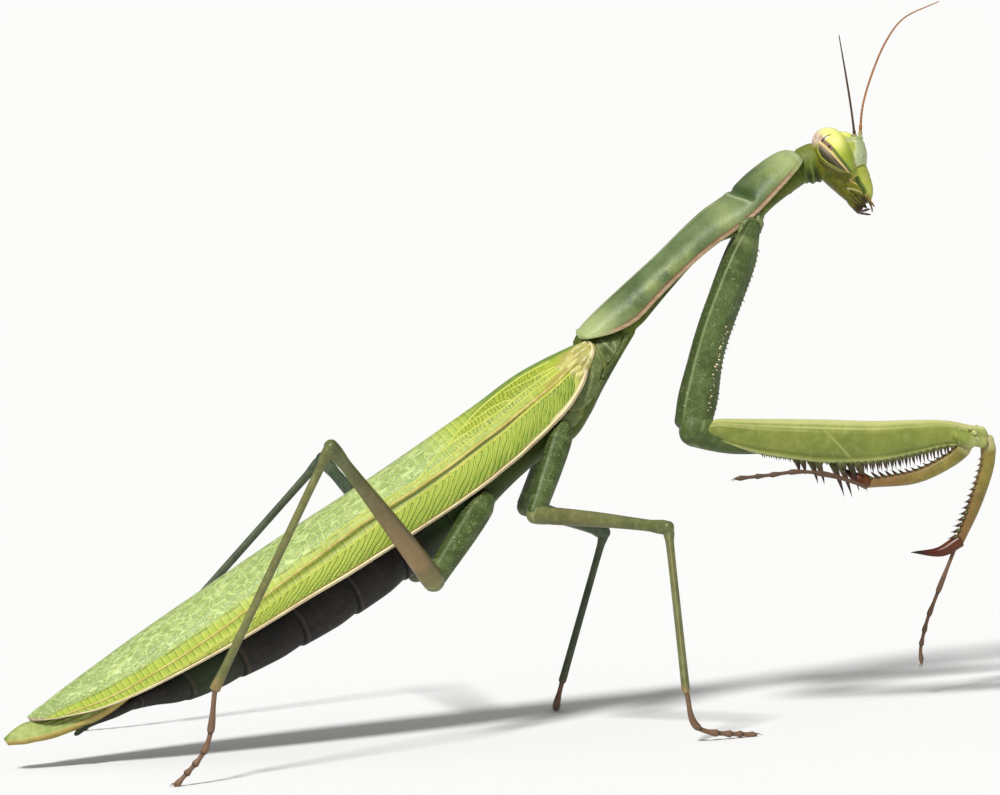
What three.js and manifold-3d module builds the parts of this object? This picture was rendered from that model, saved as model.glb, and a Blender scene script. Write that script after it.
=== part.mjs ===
// A praying mantis, an adult green female, life size, standing still on its four walking legs
// with one raptorial foreleg folded and the other half open.
// Millimetres. +X is towards the head, +Y is the animal's left, +Z is up, and the floor is z = 0.
// The origin is at the middle of the bottom of the bounding box.

import * as THREE from "three";
import { mergeVertices } from "three/addons/utils/BufferGeometryUtils.js";
import Module from "manifold-3d";

const wasm = await Module();
wasm.setup();

// ---------------------------------------------------------------- driving sizes

const gap = 0.3; // between two neighbouring pieces
const wingSheet = 0.5; // thickness of one wing
const wingStep = wingSheet + gap; // from one wing layer to the next

// The trunk is measured from the wing hinge towards the tail.
const tegmenLength = 53.3;
const hindwingLength = 55.8;
const abdomenStart = 14.2;
const segmentEnds = [17.5, 22.3, 27, 32, 37.4, 42, 46, 49.8];
const segmentArch = 0.8; // how far the edges of a segment bow forward above and below
const analAngle = 30; // degrees that a forewing reaches past the crest of the back

const pronotumGroove = 16.9; // from the pronotum's rear margin to its cross groove
const eyeSize = [1.28, 1.2, 2.05]; // half sizes: fore and aft, sideways, up and down
const antennaThickness = 0.5;

const degrees = Math.PI / 180;
const upward = new THREE.Vector3(0, 0, 1);
const sideways = new THREE.Vector3(0, 1, 0);

// Where the trunk, pronotum and head stand: origin, nose-up pitch, lean and turn to the right.
const trunkPose = poseFrame([7, 0, 30.6], 29.5, 8);
const pronotumPose = poseFrame([6.7, 0, 31.4], 36.5, 8);
const headPose = poseFrame([28.4, -0.3, 45.0], 18, -7, 23);

// Joint points of the walking legs: hip, end of the coxa, knee, ankle, end of the first tarsal
// joint, toe. The four legs share one build.
const walkingLegs = {
  mid_right: {
    points: [[4.6, -3.2, 24.6], [1.5, -5.2, 18.3], [10.4, -14.0, 17.2],
      [11.3, -13.4, 4.2], [12.3, -13.0, 1.1], [16.9, -12.0, 0.12]],
    femur: [0.74, 0.48],
    tibia: [0.36, 0.34],
    coxa: 0.98,
  },
  mid_left: {
    points: [[5.2, 3.2, 24.4], [2.6, 5.2, 18.0], [10.5, 13.5, 14.5],
      [6.3, 13.0, 2.6], [5.7, 13.1, 0.6], [6.3, 16.2, 0.12]],
    femur: [0.74, 0.48],
    tibia: [0.36, 0.34],
    coxa: 0.98,
  },
  hind_right: {
    points: [[-2.0, -3.2, 19.4], [-7.0, -5.4, 13.6], [-16.5, -17.0, 25.6],
      [-26.5, -17.0, 7.4], [-27.4, -17.0, 3.0], [-29.9, -17.0, 0.12]],
    femur: [0.82, 0.5],
    tibia: [0.4, 0.46],
    coxa: 1.05,
  },
  hind_left: {
    points: [[-1.4, 3.2, 19.2], [-6.6, 5.4, 13.3], [-11.5, 20.6, 21.5],
      [-26.5, 21.4, 6.4], [-29.6, 22.6, 2.2], [-32.2, 23.6, 0.12]],
    femur: [0.82, 0.5],
    tibia: [0.4, 0.46],
    coxa: 1.05,
  },
};

// The raptorial forelegs: the coxa hangs down, the femur is held level and the tibia closes on it.
const forelegs = {
  right: {
    side: -1,
    coxa: [[20.8, -3.3, 40.2], [16.6, -4.4, 31.3], [14.7, -5.0, 24.5]],
    femur: [[15.6, -5.6, 24.9], [37.0, -6.6, 23.5]],
    tibia: [[36.7, -6.5, 21.6], [35.2, -6.3, 20.4], [32.3, -6.0, 19.2], [28.5, -5.7, 18.9]],
    claw: [[27.6, -5.5, 19.4], [26.5, -5.2, 20.2]],
    tarsus: [[28.2, -6.1, 18.7], [25.3, -6.8, 19.8], [22.7, -7.1, 20.3], [20.2, -7.2, 20.2],
      [17.6, -7.2, 20.1]],
  },
  left: {
    side: 1,
    coxa: [[22.0, 3.3, 40.2], [18.5, 4.4, 30.9], [16.8, 5.0, 23.9]],
    femur: [[18.0, 5.4, 23.8], [41.0, 6.4, 22.3]],
    tibia: [[41.5, 6.4, 20.6], [41.2, 6.3, 18.4], [39.9, 6.1, 15.2], [38.6, 6.0, 12.6]],
    claw: [[36.9, 6.0, 11.8], [34.5, 6.0, 11.9]],
    tarsus: [[38.3, 6.1, 12.2], [36.4, 6.2, 8.0], [35.6, 6.3, 6.1], [35.0, 6.3, 4.0],
      [35.0, 6.3, 2.9]],
  },
};

// The antennae curve up and away from the brow.
const antennae = {
  right: [[29.8, -1.1, 46.3], [29.5, -1.6, 48.6], [29.0, -2.6, 51.1], [28.1, -4.6, 54.7]],
  left: [[30.5, 0.2, 46.2], [31.0, 0.9, 48.7], [32.1, 1.9, 51.2], [33.7, 3.1, 53.8],
    [35.6, 4.2, 55.6], [38.8, 5.6, 56.7]],
};

// ---------------------------------------------------------------- helpers

function poseFrame([x, y, z], pitch, lean, right = 0) {
  const turn = new THREE.Euler(lean * degrees, -pitch * degrees, -right * degrees, "ZYX");
  return new THREE.Matrix4().makeRotationFromEuler(turn).setPosition(x, y, z);
}

const vector = ([x, y, z]) => new THREE.Vector3(x, y, z);
const inFrame = (frame, x, y, z) => new THREE.Vector3(x, y, z).applyMatrix4(frame);

// A smooth curve of value against place, through a few stations [place, value].
function profile(...stations) {
  const last = stations.length - 1;
  const slope = (i) => {
    const a = stations[Math.max(i - 1, 0)];
    const b = stations[Math.min(i + 1, last)];
    return (b[1] - a[1]) / (b[0] - a[0]);
  };
  return (x) => {
    if (x <= stations[0][0]) return stations[0][1];
    if (x >= stations[last][0]) return stations[last][1];
    const i = stations.findIndex((s) => s[0] > x) - 1;
    const span = stations[i + 1][0] - stations[i][0];
    const t = (x - stations[i][0]) / span;
    const start = stations[i][1] * (1 + 2 * t) * (1 - t) ** 2 + slope(i) * span * t * (1 - t) ** 2;
    const end = stations[i + 1][1] * t * t * (3 - 2 * t) + slope(i + 1) * span * t * t * (t - 1);
    return start + end;
  };
}

// A closed mesh as a manifold solid, its shared vertices merged and its faces turned out.
function solidOf(geometry) {
  const bare = geometry.clone();
  bare.deleteAttribute("normal");
  bare.deleteAttribute("uv");
  const merged = mergeVertices(bare, 1e-4);
  const triVerts = new Uint32Array(merged.index.array);
  const vertProperties = merged.attributes.position.array;
  const solid = new wasm.Manifold(new wasm.Mesh({ numProp: 3, vertProperties, triVerts }));
  if (solid.volume() > 0) return solid;
  for (let i = 0; i < triVerts.length; i += 3) {
    [triVerts[i], triVerts[i + 1]] = [triVerts[i + 1], triVerts[i]];
  }
  return new wasm.Manifold(new wasm.Mesh({ numProp: 3, vertProperties, triVerts }));
}

function geometryOf(solid) {
  const mesh = solid.getMesh();
  const geometry = new THREE.BufferGeometry();
  geometry.setAttribute("position", new THREE.BufferAttribute(mesh.vertProperties, 3));
  geometry.setIndex(new THREE.BufferAttribute(mesh.triVerts, 1));
  geometry.computeVertexNormals();
  return geometry;
}

const largest = (solid) => solid.decompose().sort((a, b) => b.volume() - a.volume())[0];

// A closed body of rings. Each station is { t, scale }, and place(t, angle, scale) gives the
// point of the surface; the first and last rings close on the point of scale 0.
function ringBody(stations, around, place) {
  const rows = stations.length + 1;
  const geometry = new THREE.SphereGeometry(1, around, rows);
  const { position, uv } = geometry.attributes;
  for (let i = 0; i < position.count; i += 1) {
    const row = Math.round((1 - uv.getY(i)) * rows);
    const pole = row === 0 || row === rows;
    const station = stations[Math.min(Math.max(row - 1, 0), stations.length - 1)];
    const angle = Math.round(uv.getX(i) * around) % around * (2 * Math.PI / around);
    const at = place(station.t, pole ? 0 : angle, pole ? 0 : station.scale);
    position.setXYZ(i, at.x, at.y, at.z);
  }
  return solidOf(geometry);
}

// Rings from 0 to 1 along a path of some length, with a rounded cap of its own length at each end.
function capStations(length, along, [first, last], grow, steps) {
  const stations = [];
  for (let i = 1; i <= steps; i += 1) {
    const a = (i / (steps + 1)) * 90 * degrees;
    stations.push({ t: -(first + grow) * Math.cos(a) / length, scale: Math.sin(a) });
  }
  for (let i = 0; i <= along; i += 1) stations.push({ t: i / along, scale: 1 });
  for (let i = steps; i >= 1; i -= 1) {
    const a = (i / (steps + 1)) * 90 * degrees;
    stations.push({ t: 1 + (last + grow) * Math.cos(a) / length, scale: Math.sin(a) });
  }
  return stations;
}

// A limb along a curve. section(t, angle) gives [across, up] of its surface, before grow.
function limb(path, section, options = {}) {
  const { around = 8, along = 3, caps = [0.3, 0.3], steps = 1, grow = 0, up = upward } = options;
  const length = path.getLength();
  const stations = capStations(length, along, caps, grow, steps);
  return ringBody(stations, around, (t, angle, scale) => {
    const on = Math.min(Math.max(t, 0), 1);
    const ahead = path.getTangentAt(on);
    const across = new THREE.Vector3().crossVectors(ahead, up).normalize();
    const above = new THREE.Vector3().crossVectors(across, ahead);
    const [x, y] = section(on, angle);
    const reach = Math.hypot(x, y) || 1;
    const more = scale * (reach + grow) / reach;
    return path.getPointAt(on)
      .addScaledVector(ahead, (t - on) * length)
      .addScaledVector(across, x * more)
      .addScaledVector(above, y * more);
  });
}

const oval = (half, tall) => (t, a) => [half(t) * Math.cos(a), tall(t) * Math.sin(a)];
const straight = (from, to) => new THREE.LineCurve3(vector(from), vector(to));
const bent = (...points) => new THREE.CatmullRomCurve3(points.map(vector));

// A thin sheet bent in space: place(along, across, depth) with along and across from 0 to 1 and
// depth from 0 on the outer face to 1 on the inner one.
function sheet(along, across, place) {
  const geometry = new THREE.BoxGeometry(1, 1, 1, along, 1, across);
  const { position } = geometry.attributes;
  for (let i = 0; i < position.count; i += 1) {
    const at = place(position.getX(i) + 0.5, position.getZ(i) + 0.5, 0.5 - position.getY(i));
    position.setXYZ(i, at.x, at.y, at.z);
  }
  return solidOf(geometry);
}

// A spine: a slim cone from a point in a limb towards its tip.
function spine(root, tip, radius, sides = 4) {
  const ahead = new THREE.Vector3().subVectors(tip, root);
  const geometry = new THREE.ConeGeometry(radius, ahead.length(), sides);
  geometry.translate(0, ahead.length() / 2, 0);
  const turn = new THREE.Quaternion().setFromUnitVectors(sideways, ahead.normalize());
  geometry.applyQuaternion(turn);
  geometry.translate(root.x, root.y, root.z);
  return solidOf(geometry);
}

// ---------------------------------------------------------------- the pieces and their joints

const finishes = {
  green: { color: 0x6f8f3c, roughness: 0.5 },
  shield: { color: 0x7d9a5c, roughness: 0.5 },
  wing: { color: 0x9fbf3a, roughness: 0.45 },
  underwing: { color: 0x8a8a45, roughness: 0.5 },
  abdomen: { color: 0x2e3322, roughness: 0.6 },
  eye: { color: 0xb9cf3c, roughness: 0.25 },
  leg: { color: 0x6d7a3a, roughness: 0.5 },
  foreleg: { color: 0x84983f, roughness: 0.5 },
  tan: { color: 0x8a6a48, roughness: 0.55 },
  horn: { color: 0x3a2018, roughness: 0.35 },
};

const pieces = new Map();

// Adds a piece. make(grow) builds its solid, and the pieces it stands against, each grown by the
// gap, are cut from it.
function add(name, finish, make, ...against) {
  let solid = make(0);
  for (const other of against) solid = solid.subtract(pieces.get(other).clearance);
  pieces.set(name, { solid: largest(solid), finish, clearance: make(gap) });
}

// ---------------------------------------------------------------- trunk

// The folded wings: half width, height of the crest, and depth from the crest to the front margin.
const wingHalf = profile([0, 2.5], [4, 3.3], [8, 3.8], [16, 4.1], [26, 4.2], [35, 3.95], [44, 3.1],
  [50, 1.8], [54, 1.0]);
const crest = profile([0, 0.7], [3.5, 1.15], [6, 1.28], [10, 1.0], [20, 0.72], [28, 0.75], [36, 0.62],
  [44, 0.45], [50, 0.2], [54, -0.2]);
const wingDepth = profile([0, 4.4], [5, 5.05], [8, 5.0], [12, 4.6], [20, 4.55], [26, 4.75], [31, 4.4],
  [36, 4.1], [44, 3.3], [48, 2.6], [51, 1.6], [54, 0.9]);

// A point on a wing: back from the hinge, round from the crest, and deep below the outer face.
function onWing(back, round, deep) {
  const across = Math.sin(round * degrees) * Math.max(wingHalf(back) - deep, 0.3);
  const up = Math.cos(round * degrees);
  return inFrame(trunkPose, -back, across, crest(back) - wingDepth(back) * (1 - up) - deep * up);
}

// The forewings. Along the back the right one lies over the left one, which dips under it.
const tegmenAnal = profile([0, 4], [0.1, 20], [0.3, analAngle], [0.72, analAngle], [0.84, 5], [0.9, -9],
  [1, -20]);
const tegmenCostal = profile([0, 44], [0.02, 64], [0.04, 79], [0.09, 90], [0.92, 90], [1, 56]);
const tegmenDip = profile([0, 1], [0.86, 1], [0.98, 0]);

function tegmen(side, grow) {
  return sheet(16, 6, (along, across, depth) => {
    const bunched = Math.sin((along - 0.5) * Math.PI) / 2 + 0.5;
    const t = along * 0.7 + bunched * 0.3;
    const back = 0.2 + t * (tegmenLength - 0.2) + (t - 0.5) * 2 * grow;
    const more = grow / wingHalf(back) / degrees;
    const from = -tegmenAnal(t) - more;
    const to = tegmenCostal(t) + more;
    const round = from + (to - from) * across;
    const under = 1 - THREE.MathUtils.smoothstep(round, analAngle + 4, analAngle + 32);
    const dip = side > 0 ? wingStep * tegmenDip(t) * under : 0;
    return onWing(back, side * round, dip - grow + depth * (wingSheet + 2 * grow));
  });
}
add("tegmen_right", "wing", (grow) => tegmen(-1, grow));
add("tegmen_left", "wing", (grow) => tegmen(1, grow));

// The hind wings are folded like fans side by side under the forewings, and reach past them.
const fanTop = profile([4, -0.6], [10, -0.75], [20, -0.95], [30, -0.95], [40, -1.2], [47, -1.5],
  [51, -1.3], [53.4, -1.1], [54.4, -0.65], [55.8, -0.2]);
const fanHalf = profile([4, 1.2], [10, 1.8], [24, 2.1], [38, 1.9], [46, 1.5], [52, 1.15], [55.8, 0.5]);
const fanDrop = profile([4, 0.6], [24, 1.0], [48, 1.0], [52, 0.85], [54, 0.4], [55.8, 0.05]);

function hindwing(side, grow) {
  return sheet(10, 2, (along, across, depth) => {
    const back = 4 + along * (hindwingLength - 4) + (along - 0.5) * 2 * grow;
    const start = (gap / 2 - grow) / fanHalf(back);
    const share = start + (1 + grow / fanHalf(back) - start) * across;
    const drop = fanDrop(back) * share ** 2;
    const deep = -grow + depth * (wingSheet + 2 * grow);
    return inFrame(trunkPose, -back, side * fanHalf(back) * share, fanTop(back) - drop - deep);
  });
}
for (const [word, side] of [["right", -1], ["left", 1]]) {
  add(`hindwing_${word}`, "underwing", (grow) => hindwing(side, grow));
}

// The abdomen: rings that step down towards the tail, each with a lip at its rear edge.
const ringSpan = profile([13, 2.7], [20, 3.15], [27, 3.25], [35, 3.0], [42, 2.3], [46, 1.6], [50, 0.95]);
const ringTop = profile([13, -2.3], [30, -2.25], [40, -2.45], [46, -2.75], [50, -2.7]);
const ringFloor = profile([13, -6.7], [20, -7.55], [26.5, -7.9], [33, -7.55], [38, -6.95], [42, -6.2],
  [44.5, -5.0], [46.5, -4.3], [50, -3.9]);

function abdomenRing(from, to, lip, grow) {
  const rows = [
    { t: from - grow, scale: 0.95 },
    { t: from + 0.5, scale: 1 },
    { t: to - 0.5, scale: 1 },
    { t: to + grow, scale: lip },
  ];
  return ringBody(rows, 12, (back, angle, scale) => {
    const arch = segmentArch * Math.abs(Math.cos(angle)) * scale;
    const half = (ringSpan(back) + grow) * scale;
    const middle = (ringTop(back) + ringFloor(back)) / 2;
    const tall = ((ringTop(back) - ringFloor(back)) / 2 + grow) * scale;
    return inFrame(trunkPose, -back + arch, half * Math.cos(angle), middle + tall * Math.sin(angle));
  });
}
segmentEnds.forEach((end, i) => {
  const start = i ? segmentEnds[i - 1] + gap : abdomenStart;
  const lip = i === segmentEnds.length - 1 ? 0.6 : 1.03;
  add(`abdomen_${i + 1}`, "abdomen", (grow) => abdomenRing(start, end, lip, grow));
});

for (const [word, side] of [["right", -1], ["left", 1]]) {
  const points = [[-48.6, side * 1.05, -3.0], [-50.7, side * 1.35, -3.1]];
  const path = new THREE.LineCurve3(...points.map((p) => inFrame(trunkPose, ...p)));
  const slim = (t) => 0.33 - 0.07 * t;
  add(`cercus_${word}`, "abdomen", (grow) => limb(path, oval(slim, slim), { around: 5, along: 1, grow }),
    "abdomen_7", "abdomen_8", "hindwing_right", "hindwing_left");
}

// ---------------------------------------------------------------- pronotum and thorax

// The shield is a saddle: its rim hangs lower than the hollow of its underside.
const shieldHalf = profile([-0.4, 0.9], [0.8, 1.6], [4, 2.1], [9, 2.15], [13, 2.5], [16.5, 3.05],
  [19.5, 2.75], [22, 2.1], [23.3, 1.3]);
const shieldTop = profile([-0.4, 0.3], [1.2, 0.75], [3, 0.95], [5, 1.05], [9, 1.2], [14, 1.5],
  [16.9, 1.2], [19.2, 1.4], [22, 1.2], [23.3, 0.5]);
const shieldEdge = profile([-0.4, -0.15], [0.8, -0.75], [2, -1.35], [4.3, -1.65], [6.5, -1.2], [9, -0.85],
  [12, -0.6], [16.7, -0.6], [20, -0.4], [23.3, -0.2]);
const shieldHollow = 0.7;

add("pronotum", "shield", (grow) => {
  const places = [-0.3, 0.7, 2.4, 5, 8, 11, 13.5, 15.5, pronotumGroove, 18.3, 20.2, 22, 23];
  const rows = places.map((x, i) => {
    const end = i === 0 ? -grow : (i === places.length - 1 ? grow : 0);
    return { t: x + end, scale: 1 };
  });
  return ringBody(rows, 12, (x, angle, scale) => {
    const half = (shieldHalf(x) + grow) * scale;
    const above = Math.max(Math.sin(angle), 0) ** 0.85 * (shieldTop(x) - shieldEdge(x) + grow);
    const below = Math.max(-Math.sin(angle), 0) * shieldHollow - grow * (above === 0);
    return inFrame(pronotumPose, x, half * Math.cos(angle), shieldEdge(x) + (above + below) * scale);
  });
});

// The underside of the prothorax, deeper where the forelegs hang from it.
const chestHalf = profile([4.8, 1.3], [8, 1.1], [13, 1.2], [16, 1.7], [19, 1.8], [22.8, 1.2]);
const chestFloor = profile([4.8, -2.25], [8.4, -1.6], [11, -1.2], [13.5, -1.15], [16, -2.0], [19, -1.8],
  [22.8, -2.2]);

add("prosternum", "green", (grow) => {
  const rows = [4.9, 8, 11, 13.6, 15.8, 18, 20.2, 22.7].map((x) => ({ t: x, scale: 1 }));
  rows[0].t -= grow;
  rows[rows.length - 1].t += grow;
  return ringBody(rows, 10, (x, angle, scale) => {
    const top = shieldEdge(x) + shieldHollow - gap - 0.2;
    const across = (chestHalf(x) + grow) * Math.cos(angle) * scale;
    const tall = ((top - chestFloor(x)) / 2 + grow) * Math.sin(angle) * scale;
    return inFrame(pronotumPose, x, across, (top + chestFloor(x)) / 2 + tall);
  });
}, "pronotum");

// Meso- and metathorax under the wing bases: deep boxes that carry the walking legs.
const thoraxSpan = profile([-4.4, 1.0], [-1, 1.5], [3, 2.1], [9, 2.7], [15, 2.8]);
const thoraxTop = profile([-4.4, -0.4], [-2, 0], [-0.8, 0.3], [0, -0.9], [2.6, -1.2], [5, -1.7],
  [9, -1.95], [15, -2.3]);
const thoraxFloor = profile([-4.4, -1.5], [-2, -2.5], [0.8, -3.85], [2.3, -4.7], [4.4, -5.6], [8.2, -5.55],
  [11.3, -6.05], [14, -6.8]);

function thorax(places, grow) {
  const rows = places.map((t) => ({ t, scale: 1 }));
  rows[0].t -= grow;
  rows[rows.length - 1].t += grow;
  return ringBody(rows, 12, (back, angle, scale) => {
    const half = (thoraxSpan(back) + grow) * scale;
    const middle = (thoraxTop(back) + thoraxFloor(back)) / 2;
    const tall = ((thoraxTop(back) - thoraxFloor(back)) / 2 + grow) * scale;
    const bulge = Math.abs(Math.sin(angle)) ** 0.8 * Math.sign(Math.sin(angle));
    return inFrame(trunkPose, -back, half * Math.cos(angle), middle + tall * bulge);
  });
}
const thoraxSplit = 6.6;
const thoraxEnd = abdomenStart - segmentArch - gap;
add("mesothorax", "green", (grow) => thorax([-4.2, -2, -0.8, 0, 2.6, 4.4, thoraxSplit - gap], grow),
  "pronotum", "prosternum", "tegmen_left");
add("metathorax", "green", (grow) => thorax([thoraxSplit, 8.8, 11, thoraxEnd], grow));

// ---------------------------------------------------------------- head and neck

// An eye is an upright egg, broad above, with its top leaning back and out.
const eyeCentre = [0.25, 2.3, 0.2];
const eyeLean = 15;

for (const [word, side] of [["right", -1], ["left", 1]]) {
  add(`eye_${word}`, "eye", (grow) => {
    const geometry = new THREE.SphereGeometry(1, 14, 8);
    geometry.rotateX(90 * degrees);
    const { position } = geometry.attributes;
    for (let i = 0; i < position.count; i += 1) {
      const broad = 1 + 0.16 * position.getZ(i);
      position.setXY(i, position.getX(i) * broad, position.getY(i) * broad);
    }
    geometry.scale(eyeSize[0] + grow, eyeSize[1] + grow, eyeSize[2] + grow);
    geometry.rotateY(-eyeLean * degrees);
    geometry.rotateX(-side * eyeLean / 2 * degrees);
    geometry.translate(eyeCentre[0], side * eyeCentre[1], eyeCentre[2]);
    geometry.applyMatrix4(headPose);
    return solidOf(geometry);
  });
}

// The head capsule from the mouth up to the crown: half width, face and back of the head.
const headHalf = profile([-4.5, 0.7], [-4, 0.9], [-3, 1.3], [-1.8, 1.8], [-0.5, 2.0], [0.8, 1.9],
  [1.4, 1.3], [1.8, 0.7]);
const headFace = profile([-4.5, 1.5], [-3.6, 1.95], [-2.6, 2.1], [-1.4, 2.1], [-0.9, 2.3], [-0.2, 2.42],
  [0.45, 2.3], [1.1, 1.5], [1.8, 0.4]);
const headBack = profile([-4.5, 0], [-3.5, -0.65], [-2.9, -1.0], [-1.8, -1.6], [-1.2, -1.75], [0, -1.8],
  [1, -1.5], [1.8, -0.6]);

add("head", "green", (grow) => {
  const rows = [-4.4, -3.6, -2.7, -1.6, -0.6, 0.3, 1.0, 1.5].map((z) => ({ t: z, scale: 1 }));
  rows[0].t -= grow;
  rows[rows.length - 1].t += grow;
  return ringBody(rows, 12, (z, angle, scale) => {
    const middle = (headFace(z) + headBack(z)) / 2;
    const deep = ((headFace(z) - headBack(z)) / 2 + grow) * Math.cos(angle) * scale;
    const across = (headHalf(z) + grow) * Math.sin(angle) * scale;
    return inFrame(headPose, middle + deep, across, z);
  });
}, "eye_right", "eye_left");

add("neck", "green", (grow) => {
  const path = new THREE.LineCurve3(inFrame(pronotumPose, 23.4, 0, -1.3), inFrame(headPose, -1, 0, -0.1));
  const half = () => 1.4;
  return limb(path, oval(half, half), { around: 12, along: 1, caps: [0, 0.3], grow });
}, "pronotum", "prosternum", "head");

// Labrum, mandibles and palps in one piece under the face.
add("mouthparts", "tan", (grow) => {
  const jaw = straight([0.6, 0, -4.85], [0.5, 0, -5.1]);
  const half = () => 0.6;
  const lump = limb(jaw, oval(half, half), { around: 7, along: 1, caps: [0.1, 0.25], grow, up: sideways });
  const place = (solid) => solid.transform(headPose.elements);
  if (grow) return place(lump);
  let solid = lump;
  for (const side of [-1, 1]) {
    const palp = bent([0.8, side * 0.35, -5.0], [1.15, side * 0.6, -5.0], [1.25, side * 0.7, -5.4]);
    const slim = () => 0.25;
    solid = solid.add(limb(palp, oval(slim, slim), { around: 4, along: 2, caps: [0.1, 0.1] }));
  }
  return place(solid);
}, "head");

for (const [word, points] of Object.entries(antennae)) {
  const path = bent(...points);
  const slim = profile([0, 0.34], [0.06, 0.34], [0.12, antennaThickness / 2], [1, antennaThickness / 2]);
  add(`antenna_${word}`, "tan",
    (grow) => limb(path, oval(slim, slim), { around: 5, along: 9, caps: [0.1, 0.2], grow }),
    "head", "eye_right", "eye_left");
}

// ---------------------------------------------------------------- forelegs

const prism = (radius, sharp, turn) => (t, a) => {
  const reach = radius(t) * (1 + sharp * Math.cos(3 * (a - turn)));
  return [reach * Math.cos(a), reach * Math.sin(a)];
};

const femurDepth = profile([0, 2.5], [0.12, 3.0], [0.27, 3.25], [0.42, 3.5], [0.56, 3.5], [0.66, 3.3],
  [0.78, 2.75], [0.9, 2.15], [1, 2.1]);
const femurHalf = profile([0, 0.7], [0.2, 0.9], [0.5, 0.95], [0.8, 0.75], [1, 0.6]);
const foreTibiaHalf = profile([0, 0.5], [0.15, 0.56], [0.6, 0.6], [0.9, 0.5], [1, 0.42]);
const discoidal = [[0.38, 1.1], [0.44, 1.7], [0.5, 2.5], [0.57, 1.9]]; // place along, length

for (const [word, leg] of Object.entries(forelegs)) {
  const { side } = leg;
  const name = (piece) => `foreleg_${word}_${piece}`;
  const coxaPath = bent(...leg.coxa);
  const coxaHalf = profile([0, 1.1], [0.12, 1.3], [0.4, 1.45], [0.7, 1.4], [0.9, 1.5], [1, 1.45]);
  add(name("coxa"), "foreleg", (grow) => limb(coxaPath, prism(coxaHalf, 0.08, 30 * degrees),
    { around: 10, along: 5, caps: [0.7, 0.9], grow, up: sideways }), "pronotum", "prosternum");

  const femurPath = straight(...leg.femur);
  const downIn = (t, out, down) => femurPath.getPointAt(t).add(new THREE.Vector3(0, out, -down));

  const knuckle = vector(leg.coxa[2]);
  const heel = downIn(0.06, 0, 1.5);
  add(name("trochanter"), "foreleg", (grow) => {
    const path = new THREE.LineCurve3(knuckle.clone().lerp(heel, 0.35).add(new THREE.Vector3(0.1, 0, -0.8)), heel);
    const half = profile([0, 0.85], [1, 1.0]);
    return limb(path, oval(half, half), { around: 6, along: 1, caps: [0.8, 0.7], grow });
  }, name("coxa"));

  const edge = (t, angle) => {
    const depth = femurDepth(t);
    return [femurHalf(t) * Math.cos(angle), depth / 2 * Math.sin(angle) - depth / 2];
  };
  const femurBody = (grow) => {
    const stations = capStations(femurPath.getLength(), 9, [0.7, 0.5], grow, 1);
    return ringBody(stations, 8, (t, angle, scale) => {
      const on = Math.min(Math.max(t, 0), 1);
      const [x, y] = edge(on, angle);
      const half = femurDepth(on) / 2;
      const at = femurPath.getPointAt(on).addScaledVector(new THREE.Vector3().subVectors(
        femurPath.v2, femurPath.v1), t - on);
      const out = x + Math.cos(angle) * grow;
      const down = (y + half) + Math.sin(angle) * grow;
      return at.add(new THREE.Vector3(0, out * scale, down * scale - half));
    });
  };

  const tibiaPath = bent(...leg.tibia);
  const clawPath = bent(leg.tibia[3], ...leg.claw);
  const tibiaBody = (grow) => limb(tibiaPath, oval(foreTibiaHalf, (t) => foreTibiaHalf(t) * 0.95),
    { around: 7, along: 4, caps: [0.5, 0.3], grow, up: sideways });
  const clawHalf = profile([0, 0.42], [0.5, 0.27], [1, 0.1]);
  const claw = (grow) => limb(clawPath, oval(clawHalf, clawHalf),
    { around: 5, along: 3, caps: [0.2, 0.1], grow, up: sideways });

  const tarsusPath = bent(...leg.tarsus);
  const slim = profile([0, 0.27], [0.4, 0.25], [0.5, 0.29], [1, 0.25]);
  const tarsusBody = (grow) => limb(tarsusPath, oval(slim, slim), { around: 6, along: 6, grow, up: sideways });

  add(name("tibia"), "horn", (grow) => {
    let solid = tibiaBody(grow).add(claw(grow));
    if (grow) return solid;
    const count = 10;
    for (let i = 0; i < count; i += 1) {
      const t = 0.22 + 0.72 * i / (count - 1);
      const root = tibiaPath.getPointAt(t);
      const ahead = tibiaPath.getTangentAt(t);
      const inward = new THREE.Vector3(-ahead.z, 0, ahead.x).multiplyScalar(-1);
      const lean = inward.clone().addScaledVector(ahead, 0.75).normalize();
      const from = root.clone().addScaledVector(inward, 0.25);
      const tip = root.clone().addScaledVector(inward, 0.3).addScaledVector(lean, 0.75 + 0.35 * t);
      solid = solid.add(spine(from, tip, 0.19, 3));
    }
    return solid;
  });
  add(name("tarsus"), "tan", tarsusBody, name("tibia"));

  add(name("femur"), "foreleg", (grow) => {
    let solid = femurBody(grow);
    if (grow) return solid;
    const count = 11;
    for (let i = 0; i < count; i += 1) {
      const t = 0.5 + 0.4 * i / (count - 1);
      const depth = femurDepth(t);
      const out = side * 0.35;
      const tall = (i % 2 ? 0.65 : 0.95) * (1.05 - 0.3 * (t - 0.5));
      solid = solid.add(spine(downIn(t, out, depth - 0.35), downIn(t + 0.012, out, depth - 0.1 + tall), 0.19, 3));
    }
    for (const [t, tall] of discoidal) {
      const depth = femurDepth(t);
      const out = -side * 0.3;
      solid = solid.add(spine(downIn(t, out, depth - 0.4), downIn(t + 0.05, out * 2, depth - 0.1 + tall), 0.26, 4));
    }
    return solid;
  }, name("coxa"), name("trochanter"), name("tibia"), name("tarsus"));
}

// ---------------------------------------------------------------- walking legs

const floorBlock = new THREE.BoxGeometry(200, 200, 10).translate(0, 0, -5);
const floor = solidOf(floorBlock);

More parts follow.
